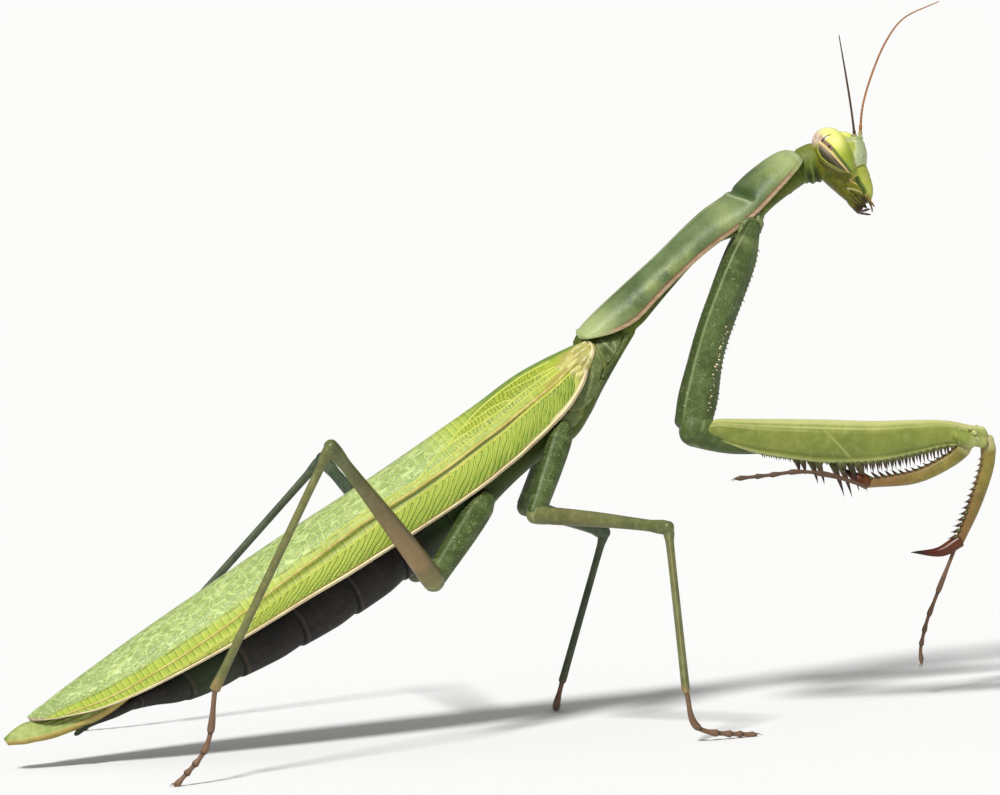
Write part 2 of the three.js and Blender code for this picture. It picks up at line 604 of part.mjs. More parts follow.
for (const [word, leg] of Object.entries(walkingLegs)) {
  const [hip, hock, knee, ankle, ball, toe] = leg.points;
  const name = (piece) => `leg_${word}_${piece}`;
  const segment = word.startsWith("mid") ? "mesothorax" : "metathorax";

  const coxaHalf = profile([0, leg.coxa * 0.95], [0.3, leg.coxa], [1, leg.coxa * 0.8]);
  add(name("coxa"), "leg", (grow) => limb(straight(hip, hock), prism(coxaHalf, 0.08, 0),
    { around: 8, along: 2, caps: [0.6, 0.6], grow, up: sideways }),
  segment, "abdomen_1", `tegmen_${word.split("_")[1]}`);

  const turn = vector(hock).lerp(vector(knee), 0.1);
  add(name("trochanter"), "leg", (grow) => {
    const path = new THREE.LineCurve3(vector(hock).add(new THREE.Vector3(0, 0, -0.3)), turn);
    const half = () => leg.femur[0] * 1.02;
    return limb(path, oval(half, half), { around: 6, along: 1, caps: [0.55, 0.3], grow });
  }, name("coxa"));

  const femurPath = new THREE.LineCurve3(turn, vector(knee));
  const femurHalfAt = profile([0, leg.femur[0]], [0.35, leg.femur[0] * 0.88], [0.85, leg.femur[1]],
    [0.97, leg.femur[1] * 1.2], [1, leg.femur[1] * 1.15]);
  add(name("femur"), "leg", (grow) => limb(femurPath, oval(femurHalfAt, femurHalfAt),
    { around: 7, along: 5, caps: [0.3, 0.5], grow }), name("coxa"), name("trochanter"));

  const tibiaPath = straight(knee, ankle);
  const tibiaHalf = profile([0, leg.tibia[0] * 1.25], [0.08, leg.tibia[0]], [0.9, leg.tibia[0]],
    [1, leg.tibia[1]]);
  add(name("tibia"), "leg", (grow) => limb(tibiaPath, oval(tibiaHalf, tibiaHalf),
    { around: 6, along: 3, caps: [0.2, 0.25], grow }), name("femur"));

  const footPath = bent(ankle, ball, toe);
  const footHalf = profile([0, 0.3], [0.45, 0.28], [0.55, 0.34], [1, 0.34]);
  add(name("tarsus"), "tan", (grow) => limb(footPath, oval(footHalf, footHalf),
    { around: 6, along: 6, caps: [0.2, 0.3], grow }).subtract(floor), name("tibia"));
}

// ---------------------------------------------------------------- the model

const model = new THREE.Group();
const stance = new THREE.Group();
model.add(stance);

for (const [name, piece] of pieces) {
  const material = new THREE.MeshStandardMaterial({ ...finishes[piece.finish], metalness: 0 });
  const mesh = new THREE.Mesh(geometryOf(piece.solid), material);
  mesh.name = name;
  stance.add(mesh);
}

// The origin goes to the middle of the bottom of the bounding box.
const bounds = new THREE.Box3().setFromObject(stance);
const middle = bounds.getCenter(new THREE.Vector3());
stance.position.set(-middle.x, -middle.y, 0);

export default model;
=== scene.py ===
import math
import random

import bmesh
import bpy
import numpy as np
from mathutils import Matrix, Vector


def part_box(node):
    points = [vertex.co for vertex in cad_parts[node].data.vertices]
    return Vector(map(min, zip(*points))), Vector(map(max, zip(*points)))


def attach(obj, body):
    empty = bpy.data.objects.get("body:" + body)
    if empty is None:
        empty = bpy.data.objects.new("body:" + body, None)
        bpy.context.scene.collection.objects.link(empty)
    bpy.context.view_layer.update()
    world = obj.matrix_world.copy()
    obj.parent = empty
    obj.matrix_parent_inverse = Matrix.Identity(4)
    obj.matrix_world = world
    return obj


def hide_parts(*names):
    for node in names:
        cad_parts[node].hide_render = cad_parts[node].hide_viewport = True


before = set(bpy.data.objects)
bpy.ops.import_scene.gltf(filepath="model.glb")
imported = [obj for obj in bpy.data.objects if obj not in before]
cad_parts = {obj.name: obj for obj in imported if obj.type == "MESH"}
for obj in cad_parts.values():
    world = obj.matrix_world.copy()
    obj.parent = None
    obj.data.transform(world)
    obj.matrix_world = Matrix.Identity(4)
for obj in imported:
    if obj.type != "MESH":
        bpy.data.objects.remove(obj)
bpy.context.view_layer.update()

mm = 0.001
rng = random.Random(14)
sides = (("right", -1), ("left", 1))


# shape helpers; shapes are worked out in millimetres on the mantis

def smooth(*stations):
    # a smooth curve of value against place, flat beyond its ends
    xs = np.array([s[0] for s in stations], float)
    ys = np.array([s[1] for s in stations], float)
    last = len(xs) - 1
    slopes = np.array([(ys[min(i + 1, last)] - ys[max(i - 1, 0)]) / (xs[min(i + 1, last)] - xs[max(i - 1, 0)])
                       for i in range(last + 1)])

    def value(x):
        x = np.clip(np.asarray(x, float), xs[0], xs[-1])
        i = np.clip(np.searchsorted(xs, x, side="right") - 1, 0, last - 1)
        span = xs[i + 1] - xs[i]
        t = (x - xs[i]) / span
        return (ys[i] * (1 + 2 * t) * (1 - t) ** 2 + slopes[i] * span * t * (1 - t) ** 2
                + ys[i + 1] * t * t * (3 - 2 * t) + slopes[i + 1] * span * t * t * (t - 1))
    return value


def ease(x, start, end):
    t = np.clip((np.asarray(x, float) - start) / (end - start), 0, 1)
    return t * t * (3 - 2 * t)


def fade(x, start, end):
    return 1 - ease(x, start, end)


def bump(x, middle, width):
    return np.exp(-((np.asarray(x, float) - middle) / width) ** 2)


def nearLine(across, up, points):
    # how far each place lies from a bent line, and how far along it the nearest spot is
    best, share = np.full(np.shape(across), 1e9), np.zeros(np.shape(across))
    for i, (start, end) in enumerate(zip(points, points[1:])):
        dx, dy = end[0] - start[0], end[1] - start[1]
        t = np.clip(((across - start[0]) * dx + (up - start[1]) * dy) / (dx * dx + dy * dy), 0, 1)
        gap = np.hypot(across - start[0] - t * dx, up - start[1] - t * dy)
        share = np.where(gap < best, (i + t) / (len(points) - 1), share)
        best = np.minimum(best, gap)
    return best, share


def drawn(across, up, points, width, taper=0.0):
    # a soft drawn line, 1 on the line itself
    gap, share = nearLine(across, up, points)
    return np.exp(-(gap / (width * (1 - taper * share))) ** 4)


def speckle(dx, dy, radius):
    return np.exp(-(np.hypot(dx, dy) / radius) ** 4)


def turned(place, pitch, lean, right=0):
    # a pose: how a part is turned, in degrees, and where it stands
    turn = (Matrix.Rotation(-math.radians(right), 3, "Z") @ Matrix.Rotation(-math.radians(pitch), 3, "Y")
            @ Matrix.Rotation(math.radians(lean), 3, "X"))
    return np.array(turn), np.array(place, float)


def inPose(pose, x, y, z):
    points = np.stack(np.broadcast_arrays(x, y, z), -1).astype(float)
    return points @ pose[0].T + pose[1]


def offPose(pose, points):
    return (np.asarray(points, float) - pose[1]) @ pose[0]


def halfway(top, floor):
    return (top + floor) / 2, (top - floor) / 2


def unit(v):
    v = np.asarray(v, float)
    return v / np.maximum(np.linalg.norm(v, axis=-1, keepdims=True), 1e-9)


def alongCurve(points, ts):
    # places and directions on a rounded curve through the points, by share of its length
    p = np.asarray(points, float)
    if len(p) == 2:
        dense = p[0] + (p[1] - p[0]) * column(0, 1, 60)
    else:
        q = np.vstack([2 * p[0] - p[1], p, 2 * p[-1] - p[-2]])
        dense = []
        for i in range(1, len(q) - 2):
            a, b, c, d = q[i - 1], q[i], q[i + 1], q[i + 2]
            t = np.linspace(0, 1, 40, endpoint=False)[:, None]
            dense.append(0.5 * (2 * b + (c - a) * t + (2 * a - 5 * b + 4 * c - d) * t ** 2
                                + (3 * b - a - 3 * c + d) * t ** 3))
        dense = np.vstack(dense + [p[-1:]])
    step = np.linalg.norm(np.diff(dense, axis=0), axis=1)
    far = np.concatenate([[0], np.cumsum(step)])
    at = np.clip(np.asarray(ts, float), 0, 1) * far[-1]
    place = np.stack([np.interp(at, far, dense[:, k]) for k in range(3)], -1)
    ahead = np.gradient(dense, far, axis=0)
    ahead = np.stack([np.interp(at, far, ahead[:, k]) for k in range(3)], -1)
    return place, unit(ahead), far[-1]


def toScene(points):
    return (np.asarray(points) + shift) * mm


def placed(name, data):
    piece = bpy.data.objects.new(name, data)
    bpy.context.collection.objects.link(piece)
    return piece


def mark(mesh, key, data, kind="FLOAT"):
    # writes one number, or one direction, to every point
    layer = mesh.attributes.new(key, kind, "POINT").data
    layer.foreach_set("value" if kind == "FLOAT" else "vector", np.asarray(data, "f").ravel())


def pointsOf(mesh):
    flat = np.empty(len(mesh.vertices) * 3)
    mesh.vertices.foreach_get("co", flat)
    return flat.reshape(-1, 3) / mm - shift


def meshObject(name, points, faces, uv, values):
    mesh = bpy.data.meshes.new(name)
    mesh.from_pydata(toScene(points).tolist(), [], faces)
    for key, data in values.items():
        mark(mesh, key, data)
    mesh.uv_layers.new(name="surface").data.foreach_set("uv", np.asarray(uv, "f").ravel())
    mesh.polygons.foreach_set("use_smooth", [True] * len(mesh.polygons))
    mesh.update()
    return placed(name, mesh)


def turnOut(piece):
    # faces all point outwards
    made = bmesh.new()
    made.from_mesh(piece.data)
    bmesh.ops.recalc_face_normals(made, faces=made.faces)
    if made.calc_volume(signed=True) < 0:
        bmesh.ops.reverse_faces(made, faces=made.faces)
    made.to_mesh(piece.data)
    made.free()
    return piece


def ringShell(name, rings, values=None, size=(1, 1)):
    # a closed shell of rings, with its two ends drawn to a point
    rows, cols = rings.shape[:2]
    points = np.vstack([rings.reshape(-1, 3), rings[0].mean(axis=0), rings[-1].mean(axis=0)])
    faces, uv = [], []
    wide, tall = size
    sectors = [(j, (j + 1) % cols, j / cols * wide, (j + 1) / cols * wide) for j in range(cols)]
    for i in range(rows - 1):
        c, d = i / (rows - 1) * tall, (i + 1) / (rows - 1) * tall
        for j, k, a, b in sectors:
            faces.append((i * cols + j, i * cols + k, (i + 1) * cols + k, (i + 1) * cols + j))
            uv += [(a, c), (b, c), (b, d), (a, d)]
    head, last = rows * cols, (rows - 1) * cols
    for j, k, a, b in sectors:
        faces += [(head, k, j), (head + 1, last + j, last + k)]
        uv += [((a + b) / 2, 0), (b, 0), (a, 0), ((a + b) / 2, tall), (a, tall), (b, tall)]
    full = {}
    for key, value in (values or {}).items():
        grid = np.broadcast_to(value, (rows, cols))
        full[key] = np.concatenate([grid.ravel(), [np.mean(grid[0])], [np.mean(grid[-1])]])
    return turnOut(meshObject(name, points, faces, uv, full))


def sheetPair(name, outer, inner, uv, values=None):
    # a thin closed sheet from its outer and inner faces
    rows, cols = outer.shape[:2]
    count = rows * cols
    points = np.vstack([outer.reshape(-1, 3), inner.reshape(-1, 3)])
    flat = uv.reshape(-1, 2)
    faces, corners = [], []

    def face(*around):
        faces.append(around)
        corners.extend(flat[v % count] for v in around)
    for i in range(rows - 1):
        for j in range(cols - 1):
            a, b, c, d = i * cols + j, i * cols + j + 1, (i + 1) * cols + j + 1, (i + 1) * cols + j
            face(a, b, c, d)
            face(a + count, d + count, c + count, b + count)
    for i in range(rows - 1):
        for j in (0, cols - 1):
            a, d = i * cols + j, (i + 1) * cols + j
            face(a, d, d + count, a + count)
    for j in range(cols - 1):
        for i in (0, rows - 1):
            a, b = i * cols + j, i * cols + j + 1
            face(a, a + count, b + count, b)
    full = {key: np.tile(np.broadcast_to(v, (rows, cols)).ravel(), 2) for key, v in (values or {}).items()}
    return turnOut(meshObject(name, points, faces, corners, full))


def roundedEnds(count, caps, length, steps=6):
    # shares of the length, running past both ends, and how full the limb is at each
    turn = np.linspace(0, math.pi / 2, steps + 1)[1:]
    at = np.concatenate([-caps[0] * np.cos(turn) / length, np.linspace(0, 1, count)[1:-1],
                         1 + caps[1] * np.cos(turn[::-1]) / length])
    return at, np.concatenate([np.sin(turn), np.ones(count - 2), np.sin(turn[::-1])])


def turns(count):
    return np.linspace(0, 2 * math.pi, count, endpoint=False)[None, :]


def column(start, end, count):
    return np.linspace(start, end, count)[:, None]


def limb(name, points, section, around=24, along=40, caps=(0.3, 0.3), up=(0, 0, 1), values=None):
    # a tube along a curve with rounded ends; section(t, angle) gives how far across and up it reaches
    length = alongCurve(points, [0])[2]
    ts, scale = roundedEnds(along, caps, length)
    on = np.clip(ts, 0, 1)
    place, ahead, _ = alongCurve(points, on)
    across = unit(np.cross(ahead, np.asarray(up, float)))
    above = np.cross(across, ahead)
    angle = turns(around)
    x, y = section(on[:, None], angle)
    place = place + ahead * ((ts - on) * length)[:, None]
    rings = (place[:, None, :] + across[:, None, :] * (x * scale[:, None])[..., None]
             + above[:, None, :] * (y * scale[:, None])[..., None])
    made = {key: (v(on[:, None], angle) if callable(v) else v) for key, v in (values or {}).items()}
    return ringShell(name, rings, made, size=(0.5, length / 10))


def oval(half, tall=None):
    tall = tall or half
    return lambda t, a: (half(t) * np.cos(a), tall(t) * np.sin(a))


def plain(piece):
    # the piece with its modifiers made real
    depsgraph = bpy.context.evaluated_depsgraph_get()
    mesh = bpy.data.meshes.new_from_object(piece.evaluated_get(depsgraph))
    mesh.name = piece.name
    piece.modifiers.clear()
    piece.data = mesh
    return piece


def joined(name, pieces):
    made = bmesh.new()
    for piece in pieces:
        made.from_mesh(piece.data)
        bpy.data.objects.remove(piece)
    mesh = bpy.data.meshes.new(name)
    made.to_mesh(mesh)
    made.free()
    return placed(name, mesh)


def united(name, pieces):
    # one closed skin from pieces that run into each other
    whole = pieces[0]
    whole.name = name
    for other in pieces[1:]:
        cut = whole.modifiers.new("grow", "BOOLEAN")
        cut.operation, cut.solver, cut.object = "UNION", "MANIFOLD", other
    whole = plain(whole)
    for other in pieces[1:]:
        bpy.data.objects.remove(other)
    return whole


def remeshed(piece, voxel, smoothing):
    # melts the piece's parts into one even skin
    voxels = piece.modifiers.new("blend", "REMESH")
    voxels.mode, voxels.voxel_size, voxels.use_smooth_shade = "VOXEL", voxel * mm, True
    relax = piece.modifiers.new("relax", "SMOOTH")
    relax.factor, relax.iterations = 0.5, smoothing
    return plain(piece)


def finished(piece, finish, slot, *nodes):
    # one finish, or a list of them for a piece whose faces already have theirs
    if not isinstance(finish, list):
        piece.data.materials.clear()
        finish = [finish]
    for made in finish:
        piece.data.materials.append(made)
    piece.data.polygons.foreach_set("use_smooth", [True] * len(piece.data.polygons))
    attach(piece, "root")
    if nodes:
        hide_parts(*nodes)
    return piece


# materials; these helpers add to the node tree in hand

tree = None


def finishTree(name):
    global tree
    material = bpy.data.materials.new(name)
    material.use_nodes = True
    tree = material.node_tree
    return material, tree.nodes["Principled BSDF"]


def feed(made, links):
    # joins each input to a socket, or sets its value
    for key, value in links.items():
        if isinstance(value, bpy.types.NodeSocket):
            tree.links.new(value, made.inputs[key])
        else:
            made.inputs[key].default_value = value


def node(kind, links=None, **settings):
    made = tree.nodes.new(kind if "Node" in kind else "ShaderNode" + kind)
    for key, value in settings.items():
        setattr(made, key, value)
    feed(made, links or {})
    return made


def mixed(share, first, second):
    first, second = ((*c, 1) if isinstance(c, tuple) else c for c in (first, second))
    return node("Mix", {0: share, 6: first, 7: second}, data_type="RGBA").outputs[2]


def sums(operation, *values):
    return node("Math", dict(enumerate(values)), operation=operation).outputs[0]


def times(*values):
    return sums("MULTIPLY", *values)


def between(value, low, high, outLow=0.0, outHigh=1.0):
    return node("MapRange", {"Value": value, "From Min": low, "From Max": high,
                             "To Min": outLow, "To Max": outHigh}).outputs["Result"]


def field(name):
    return node("Attribute", attribute_name=name).outputs["Fac"]


def onPiece():
    return node("TexCoord").outputs["Object"]


def specks(scale, detail=4, rough=0.55, place=None):
    return node("TexNoise", {"Vector": place or onPiece(), "Scale": scale, "Detail": detail,
                             "Roughness": rough}).outputs["Fac"]


def cells(scale, place=None, uneven=1.0, **settings):
    return node("TexVoronoi", {"Vector": place or onPiece(), "Scale": scale, "Randomness": uneven},
                **settings).outputs["Distance"]


def toned(colour, share):
    return tuple(share * c for c in colour)


def painted(tint, *layers):
    # each layer is a mark, then its colour, or a noise and the two colours that it mixes
    for share, *over in layers:
        share = field(share) if isinstance(share, str) else share
        tint = mixed(share, tint, over[0] if len(over) == 1 else mixed(*over))
    return tint


def coat(shader, tint, fine, rough, shine, height, strength, deep, soft=0.06,
         reach=(0.0005, 0.0006, 0.0002)):
    # colour, gloss, softness and grain
    grain = node("Bump", {"Height": height, "Strength": strength, "Distance": deep})
    feed(shader, {"Base Color": tint, "Roughness": between(fine, *rough), "Specular IOR Level": shine,
                  "Subsurface Weight": soft, "Subsurface Radius": reach, "Normal": grain.outputs[0]})


# where the body stands

trunkPose = turned((7, 0, 30.6), 29.5, 8)
pronotumPose = turned((6.7, 0, 31.4), 36.5, 8)
headPose = turned((28.4, -0.3, 45.0), 18, -7, 23)

eyeSizes = {
    "half": (1.28, 1.2, 2.05),  # fore and aft, sideways, up and down
    "centre": (0.25, 2.3, 0.2),
    "lean": 15,
    "taper": 0.16,
}


def eyeCentre(side):
    return np.array(eyeSizes["centre"]) * (1, side, 1)


def eyePoints(side, east, north):
    # an upright egg, broad above, with its top leaning back and out
    half = eyeSizes["half"]
    z = np.sin(north)
    broad = (1 + eyeSizes["taper"] * z) * np.cos(north)
    local = np.stack(np.broadcast_arrays(np.cos(east) * broad * half[0],
                                         np.sin(east) * broad * half[1], z * half[2]), -1)
    lean = math.radians(eyeSizes["lean"])
    turn = Matrix.Rotation(-side * lean / 2, 3, "X") @ Matrix.Rotation(-lean, 3, "Y")
    local = local @ np.array(turn).T + eyeCentre(side)
    return local @ headPose[0].T + headPose[1]


# the whole model stands a little off these measures: the eye says by how much
eyeLow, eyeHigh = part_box("eye_right")
eyeShell = eyePoints(-1, np.linspace(0, 2 * math.pi, 180)[None, :], column(-math.pi / 2, math.pi / 2, 90))
eyeShell = eyeShell.reshape(-1, 3)
shift = np.array((eyeLow + eyeHigh) / 2) / mm - (eyeShell.min(axis=0) + eyeShell.max(axis=0)) / 2
shift[2] = 0
print("stance found", [round(float(v), 3) for v in shift])

# camera, floor and light

camera = {
    "distance": 600,  # mm from the middle of the body
    "target": (0, 0, 27.2),
    "right": (0.98287, -0.17725, -0.05044),
    "up": (0.06313, 0.06667, 0.99578),
    "back": (-0.17314, -0.98191, 0.07672),
    "lens": 270,
}
lens = bpy.data.cameras.new("view")
lens.lens, lens.sensor_width, lens.clip_start, lens.clip_end = camera["lens"], 36, 0.05, 60
viewer = placed("view", lens)
eyeSpot = toScene(np.array(camera["target"]) + np.array(camera["back"]) * camera["distance"])
turn = Matrix((camera["right"], camera["up"], camera["back"])).transposed()
viewer.matrix_world = Matrix.Translation(Vector(eyeSpot)) @ turn.to_4x4()
bpy.context.scene.camera = viewer

studio = {
    "floorSize": 30.0,
    "sun": 3.3,
    "sunFrom": (-0.42, -0.62, 0.8),
    "softness": 11,  # degrees across
    "sky": 0.32,
}
floorMesh = bpy.data.meshes.new("floor")
half = studio["floorSize"] / 2
floorMesh.from_pydata([(-half, -half, 0), (half, -half, 0), (half, half, 0), (-half, half, 0)], [], [(0, 1, 2, 3)])
floor = placed("floor", floorMesh)
floorPaper, shader = finishTree("palePaper")
feed(shader, {"Base Color": mixed(specks(900), (0.87, 0.87, 0.86), (0.92, 0.92, 0.91)), "Roughness": 0.95,
              "Specular IOR Level": 0.0})
floorMesh.materials.append(floorPaper)

lamp = bpy.data.lights.new("key", "SUN")
lamp.energy, lamp.angle = studio["sun"], math.radians(studio["softness"])
placed("key", lamp).rotation_euler = Vector(studio["sunFrom"]).to_track_quat("Z", "Y").to_euler()
world = bpy.data.worlds.new("studio")
world.use_nodes = True
sky = world.node_tree.nodes["Background"].inputs
sky["Color"].default_value, sky["Strength"].default_value = (1, 1, 1, 1), studio["sky"]
bpy.context.scene.world = world
bpy.context.scene.view_settings.view_transform = "Standard"
print("camera, floor and light ready")


# finishes

def skinFinish(name, base, dark, light, gloss, tan=(0.25, 0.15, 0.05), cream=(0.6, 0.58, 0.28), shine=0.3,
               freckle=0.3, grains=None):
    # a hard green shell: soft clouds, mottling, fine grain, and deep, tan and pale areas; the deep areas are painted
    # shade in creases, hollows and shaded sides as well as dark joints, and some pale areas are painted highlight
    material, shader = finishTree(name)
    cloud, mottle, fine = specks(330, 3), specks(1500, 4, 0.6), specks(5200, 3, 0.6)
    tint = painted(mixed(between(cloud, 0.36, 0.64), dark, base),
                   (between(mottle, 0.48, 0.78, 0, 0.6), light), (between(mottle, 0.44, 0.3, 0, 0.5), dark),
                   (between(fine, 0.56, 0.72, 0, freckle), light),
                   ("brown", mottle, toned(tan, 0.7), toned(tan, 1.25)),
                   ("deep", toned(dark, 0.45)), ("pale", mottle, toned(cream, 0.8), cream))
    if grains:
        spots = times(between(cells(4300), 0.26, 0.12), between(specks(900, 2), 0.42, 0.62))
        tint = painted(tint, (times(spots, field("grit")), grains))
    coat(shader, tint, fine, (0.3, 0.75, gloss, gloss + 0.18), shine, sums("ADD", fine, mottle), 0.4, 0.00005)
    return material


bodyGreen = skinFinish("bodyGreen", (0.125, 0.165, 0.016), (0.055, 0.085, 0.008), (0.23, 0.29, 0.06), 0.42,
                       cream=(0.42, 0.45, 0.12), shine=0.2)
coxaGreen = skinFinish("coxaGreen", (0.085, 0.125, 0.032), (0.05, 0.078, 0.014), (0.17, 0.23, 0.08), 0.4,
                       cream=(0.36, 0.42, 0.17), freckle=0.45, grains=(0.4, 0.43, 0.25))
legGreen = skinFinish("legGreen", (0.14, 0.155, 0.045), (0.08, 0.1, 0.024), (0.24, 0.26, 0.1), 0.3,
                      tan=(0.33, 0.21, 0.085), shine=0.42)
# a darker copy of the leg green for the legs on the far side: painted shade
shadedLegGreen = skinFinish("shadedLegGreen", (0.07, 0.1, 0.05), (0.035, 0.055, 0.03), (0.12, 0.16, 0.08), 0.42,
                      tan=(0.12, 0.09, 0.05))
forelegGreen = skinFinish("forelegGreen", (0.25, 0.29, 0.05), (0.17, 0.215, 0.035), (0.37, 0.41, 0.12), 0.34,
                          cream=(0.62, 0.62, 0.25))
tibiaOchre = skinFinish("tibiaOchre", (0.23, 0.2, 0.035), (0.13, 0.12, 0.02), (0.36, 0.3, 0.09), 0.34,
                        tan=(0.2, 0.1, 0.035))
tanShell = skinFinish("tanShell", (0.15, 0.1, 0.06), (0.06, 0.04, 0.026), (0.28, 0.19, 0.12), 0.4,
                      tan=(0.19, 0.105, 0.06))


def hornFinish(name, root, middle):
    # one colour at the root, another above it and black at the point
    material, shader = finishTree(name)
    fine = specks(1800, 3)
    tint = painted(mixed(fine, toned(root, 0.7), toned(root, 1.3)), (between(field("tip"), 0.1, 0.45), middle),
                   (between(field("tip"), 0.5, 0.85), fine, (0.008, 0.006, 0.006), (0.03, 0.015, 0.012)))
    coat(shader, tint, fine, (0.3, 0.7, 0.2, 0.36), 0.28, fine, 0.3, 0.00003, 0, (1, 0.2, 0.1))
    return material


spineDark = hornFinish("spineDark", (0.085, 0.1, 0.022), (0.05, 0.022, 0.012))
clawRed = hornFinish("clawRed", (0.1, 0.03, 0.01), (0.08, 0.012, 0.005))
# the abdomen plates and cerci are coloured near black: painted shade for the abdomen lying under the wings
paintedShadePlate = skinFinish("paintedShadePlate", (0.016, 0.014, 0.009), (0.006, 0.005, 0.005), (0.038, 0.024, 0.02), 0.42,
                       tan=(0.045, 0.085, 0.018), cream=(0.09, 0.055, 0.035), shine=0.2, freckle=0.15)


def wingFinish():
    # thin green leather: ribbed front field, each rib with a painted lit band before it and a painted shadow behind
    # it, yellow middle field with ladders, netted hind field, dark strip
    material, shader = finishTree("wingGreen")
    place = node("UVMap", uv_map="surface").outputs[0]
    cloud, mottle, fine = specks(300, 3), specks(1400, 4, 0.6), specks(4200, 4)
    wave = lambda angle, *span: between(sums("COSINE", angle), *span)
    phase = times(field("ribCount"), 2 * math.pi)
    ridge, hollow = wave(phase, 0.72, 1.0), wave(sums("SUBTRACT", phase, 1.0), 0.35, 1.0)
    low = mixed(cloud, (0.09, 0.2, 0.012), (0.2, 0.33, 0.035))
    tint = painted(mixed(cloud, (0.33, 0.44, 0.055), (0.46, 0.56, 0.09)), ("fresh", low),
                   (between(mottle, 0.42, 0.66, 0, 0.45), (0.42, 0.52, 0.085)),
                   # painted light on the lit side of each rib, and painted shadow just behind it
                   (wave(sums("ADD", phase, 0.9), -0.6, 1.0, 0, 0.5), (0.46, 0.55, 0.09)),
                   (times(hollow, 0.5), (0.1, 0.19, 0.015)), (times(ridge, 0.9), (0.6, 0.63, 0.11)))
    along = node("SeparateXYZ", {"Vector": place}).outputs["X"]
    steps = sums("ADD", times(along, 31 * 2 * math.pi), between(specks(9, 3, place=place), 0.3, 0.7, -5, 5))
    gold = painted(mixed(cloud, (0.3, 0.38, 0.03), (0.46, 0.51, 0.06)),
                   (between(mottle, 0.46, 0.66, 0, 0.5), (0.2, 0.28, 0.022)),
                   (times(wave(steps, 0.5, -0.6), times(field("ladder"), 0.7)), (0.13, 0.19, 0.012)))
    stretched = node("Mapping", {"Vector": place, "Scale": (0.8, 1.4, 1)}).outputs[0]
    net = between(cells(16, stretched, 0.75, feature="DISTANCE_TO_EDGE"), 0.02, 0.15, 1, 0)
    ground = painted(mixed(cloud, (0.2, 0.31, 0.085), (0.33, 0.43, 0.13)),
                     (between(mottle, 0.42, 0.66), (0.4, 0.5, 0.17)))
    rung = times(wave(times(phase, 2.3), 0.3, 1.0), 0.4)
    strip = mixed(cloud, (0.15, 0.19, 0.014), (0.24, 0.28, 0.03))
    tint = painted(
        tint, ("gold", gold), ("anal", mottle, (0.08, 0.17, 0.018), (0.28, 0.38, 0.06)),
        ("net", times(net, 0.8), ground, (0.56, 0.67, 0.27)), ("stripe", rung, strip, (0.32, 0.36, 0.045)),
        ("line", (0.035, 0.055, 0.006)), ("root", mottle, (0.26, 0.27, 0.045), (0.5, 0.48, 0.12)),
        ("fold", mottle, (0.48, 0.46, 0.13), (0.76, 0.7, 0.3)),
        ("ochre", mottle, (0.36, 0.27, 0.06), (0.5, 0.4, 0.11)),
        ("cream", mottle, (0.62, 0.54, 0.28), (0.88, 0.8, 0.46)),
        ("pink", mottle, (0.5, 0.36, 0.26), (0.72, 0.58, 0.46)),
        (times(field("tick"), sums("ADD", times(ridge, 0.75), 0.1)), (0.16, 0.05, 0.02)),
        ("rust", (0.2, 0.08, 0.045)))
    height = sums("ADD", times(net, field("net")), times(sums("ADD", fine, mottle), 0.3))
    height = sums("ADD", height, times(sums("SUBTRACT", ridge, hollow), field("ribbed")))
    coat(shader, tint, fine, (0.3, 0.75, 0.36, 0.55), 0.3, height, 0.8, 0.00009, reach=(0.0004, 0.0005, 0.0002))
    return material


wingGreen = wingFinish()
veinYellow = skinFinish("veinYellow", (0.62, 0.64, 0.12), (0.48, 0.55, 0.07), (0.8, 0.76, 0.25), 0.4)
radiusGold = skinFinish("radiusGold", (0.58, 0.5, 0.14), (0.42, 0.34, 0.07), (0.78, 0.68, 0.3), 0.38)
marginCream = skinFinish("marginCream", (0.84, 0.76, 0.42), (0.62, 0.48, 0.26), (0.9, 0.86, 0.6), 0.4)
hingeCream = skinFinish("hingeCream", (0.52, 0.49, 0.13), (0.34, 0.31, 0.06), (0.72, 0.66, 0.28), 0.4,
                        tan=(0.38, 0.27, 0.05), cream=(0.86, 0.84, 0.56))
plateGreen = skinFinish("plateGreen", (0.14, 0.185, 0.055), (0.075, 0.105, 0.022), (0.29, 0.34, 0.13), 0.36,
                        cream=(0.5, 0.52, 0.28), freckle=0.5)
underwingOlive = skinFinish("underwingOlive", (0.36, 0.43, 0.12), (0.22, 0.29, 0.06), (0.56, 0.6, 0.24), 0.45,
                            tan=(0.5, 0.3, 0.08))
antennaBrown = skinFinish("antennaBrown", (0.1, 0.06, 0.025), (0.05, 0.03, 0.016), (0.2, 0.12, 0.05), 0.4,
                          tan=(0.36, 0.15, 0.045))

# wings

wingSizes = {
    "sheet": 0.42,  # mm thick
    "step": 0.8,  # from one wing to the next
    "front": 0.2,  # mm behind the hinge
    "length": 53.3,
    "hindLength": 55.8,
    "ribsEnd": 4.5,  # degrees short of the margin
    "rows": 760,
    "columns": 64,
}
wingHalf = smooth((0, 2.5), (4, 3.3), (8, 3.8), (16, 4.1), (26, 4.2), (35, 3.95), (44, 3.1), (50, 1.8), (54, 1.0))
crest = smooth((0, 0.7), (3.5, 1.15), (6, 1.28), (10, 1.0), (20, 0.72), (28, 0.75), (36, 0.62), (44, 0.45), (50, 0.2),
               (54, -0.2))
wingDepth = smooth((0, 4.4), (5, 5.05), (8, 5.0), (12, 4.6), (20, 4.55), (26, 4.75), (31, 4.4), (36, 4.1), (44, 3.3),
                   (48, 2.6), (51, 1.6), (54, 0.9))


def wingShare(back):
    return (back - wingSizes["front"]) / (wingSizes["length"] - wingSizes["front"])


def wingBack(share):
    return wingSizes["front"] + share * (wingSizes["length"] - wingSizes["front"])


def onWing(back, around, deep):
    a = np.radians(around)
    across = np.sin(a) * np.maximum(wingHalf(back) - deep, 0.3)
    return inPose(trunkPose, -back, across, crest(back) - wingDepth(back) * (1 - np.cos(a)) - deep * np.cos(a))


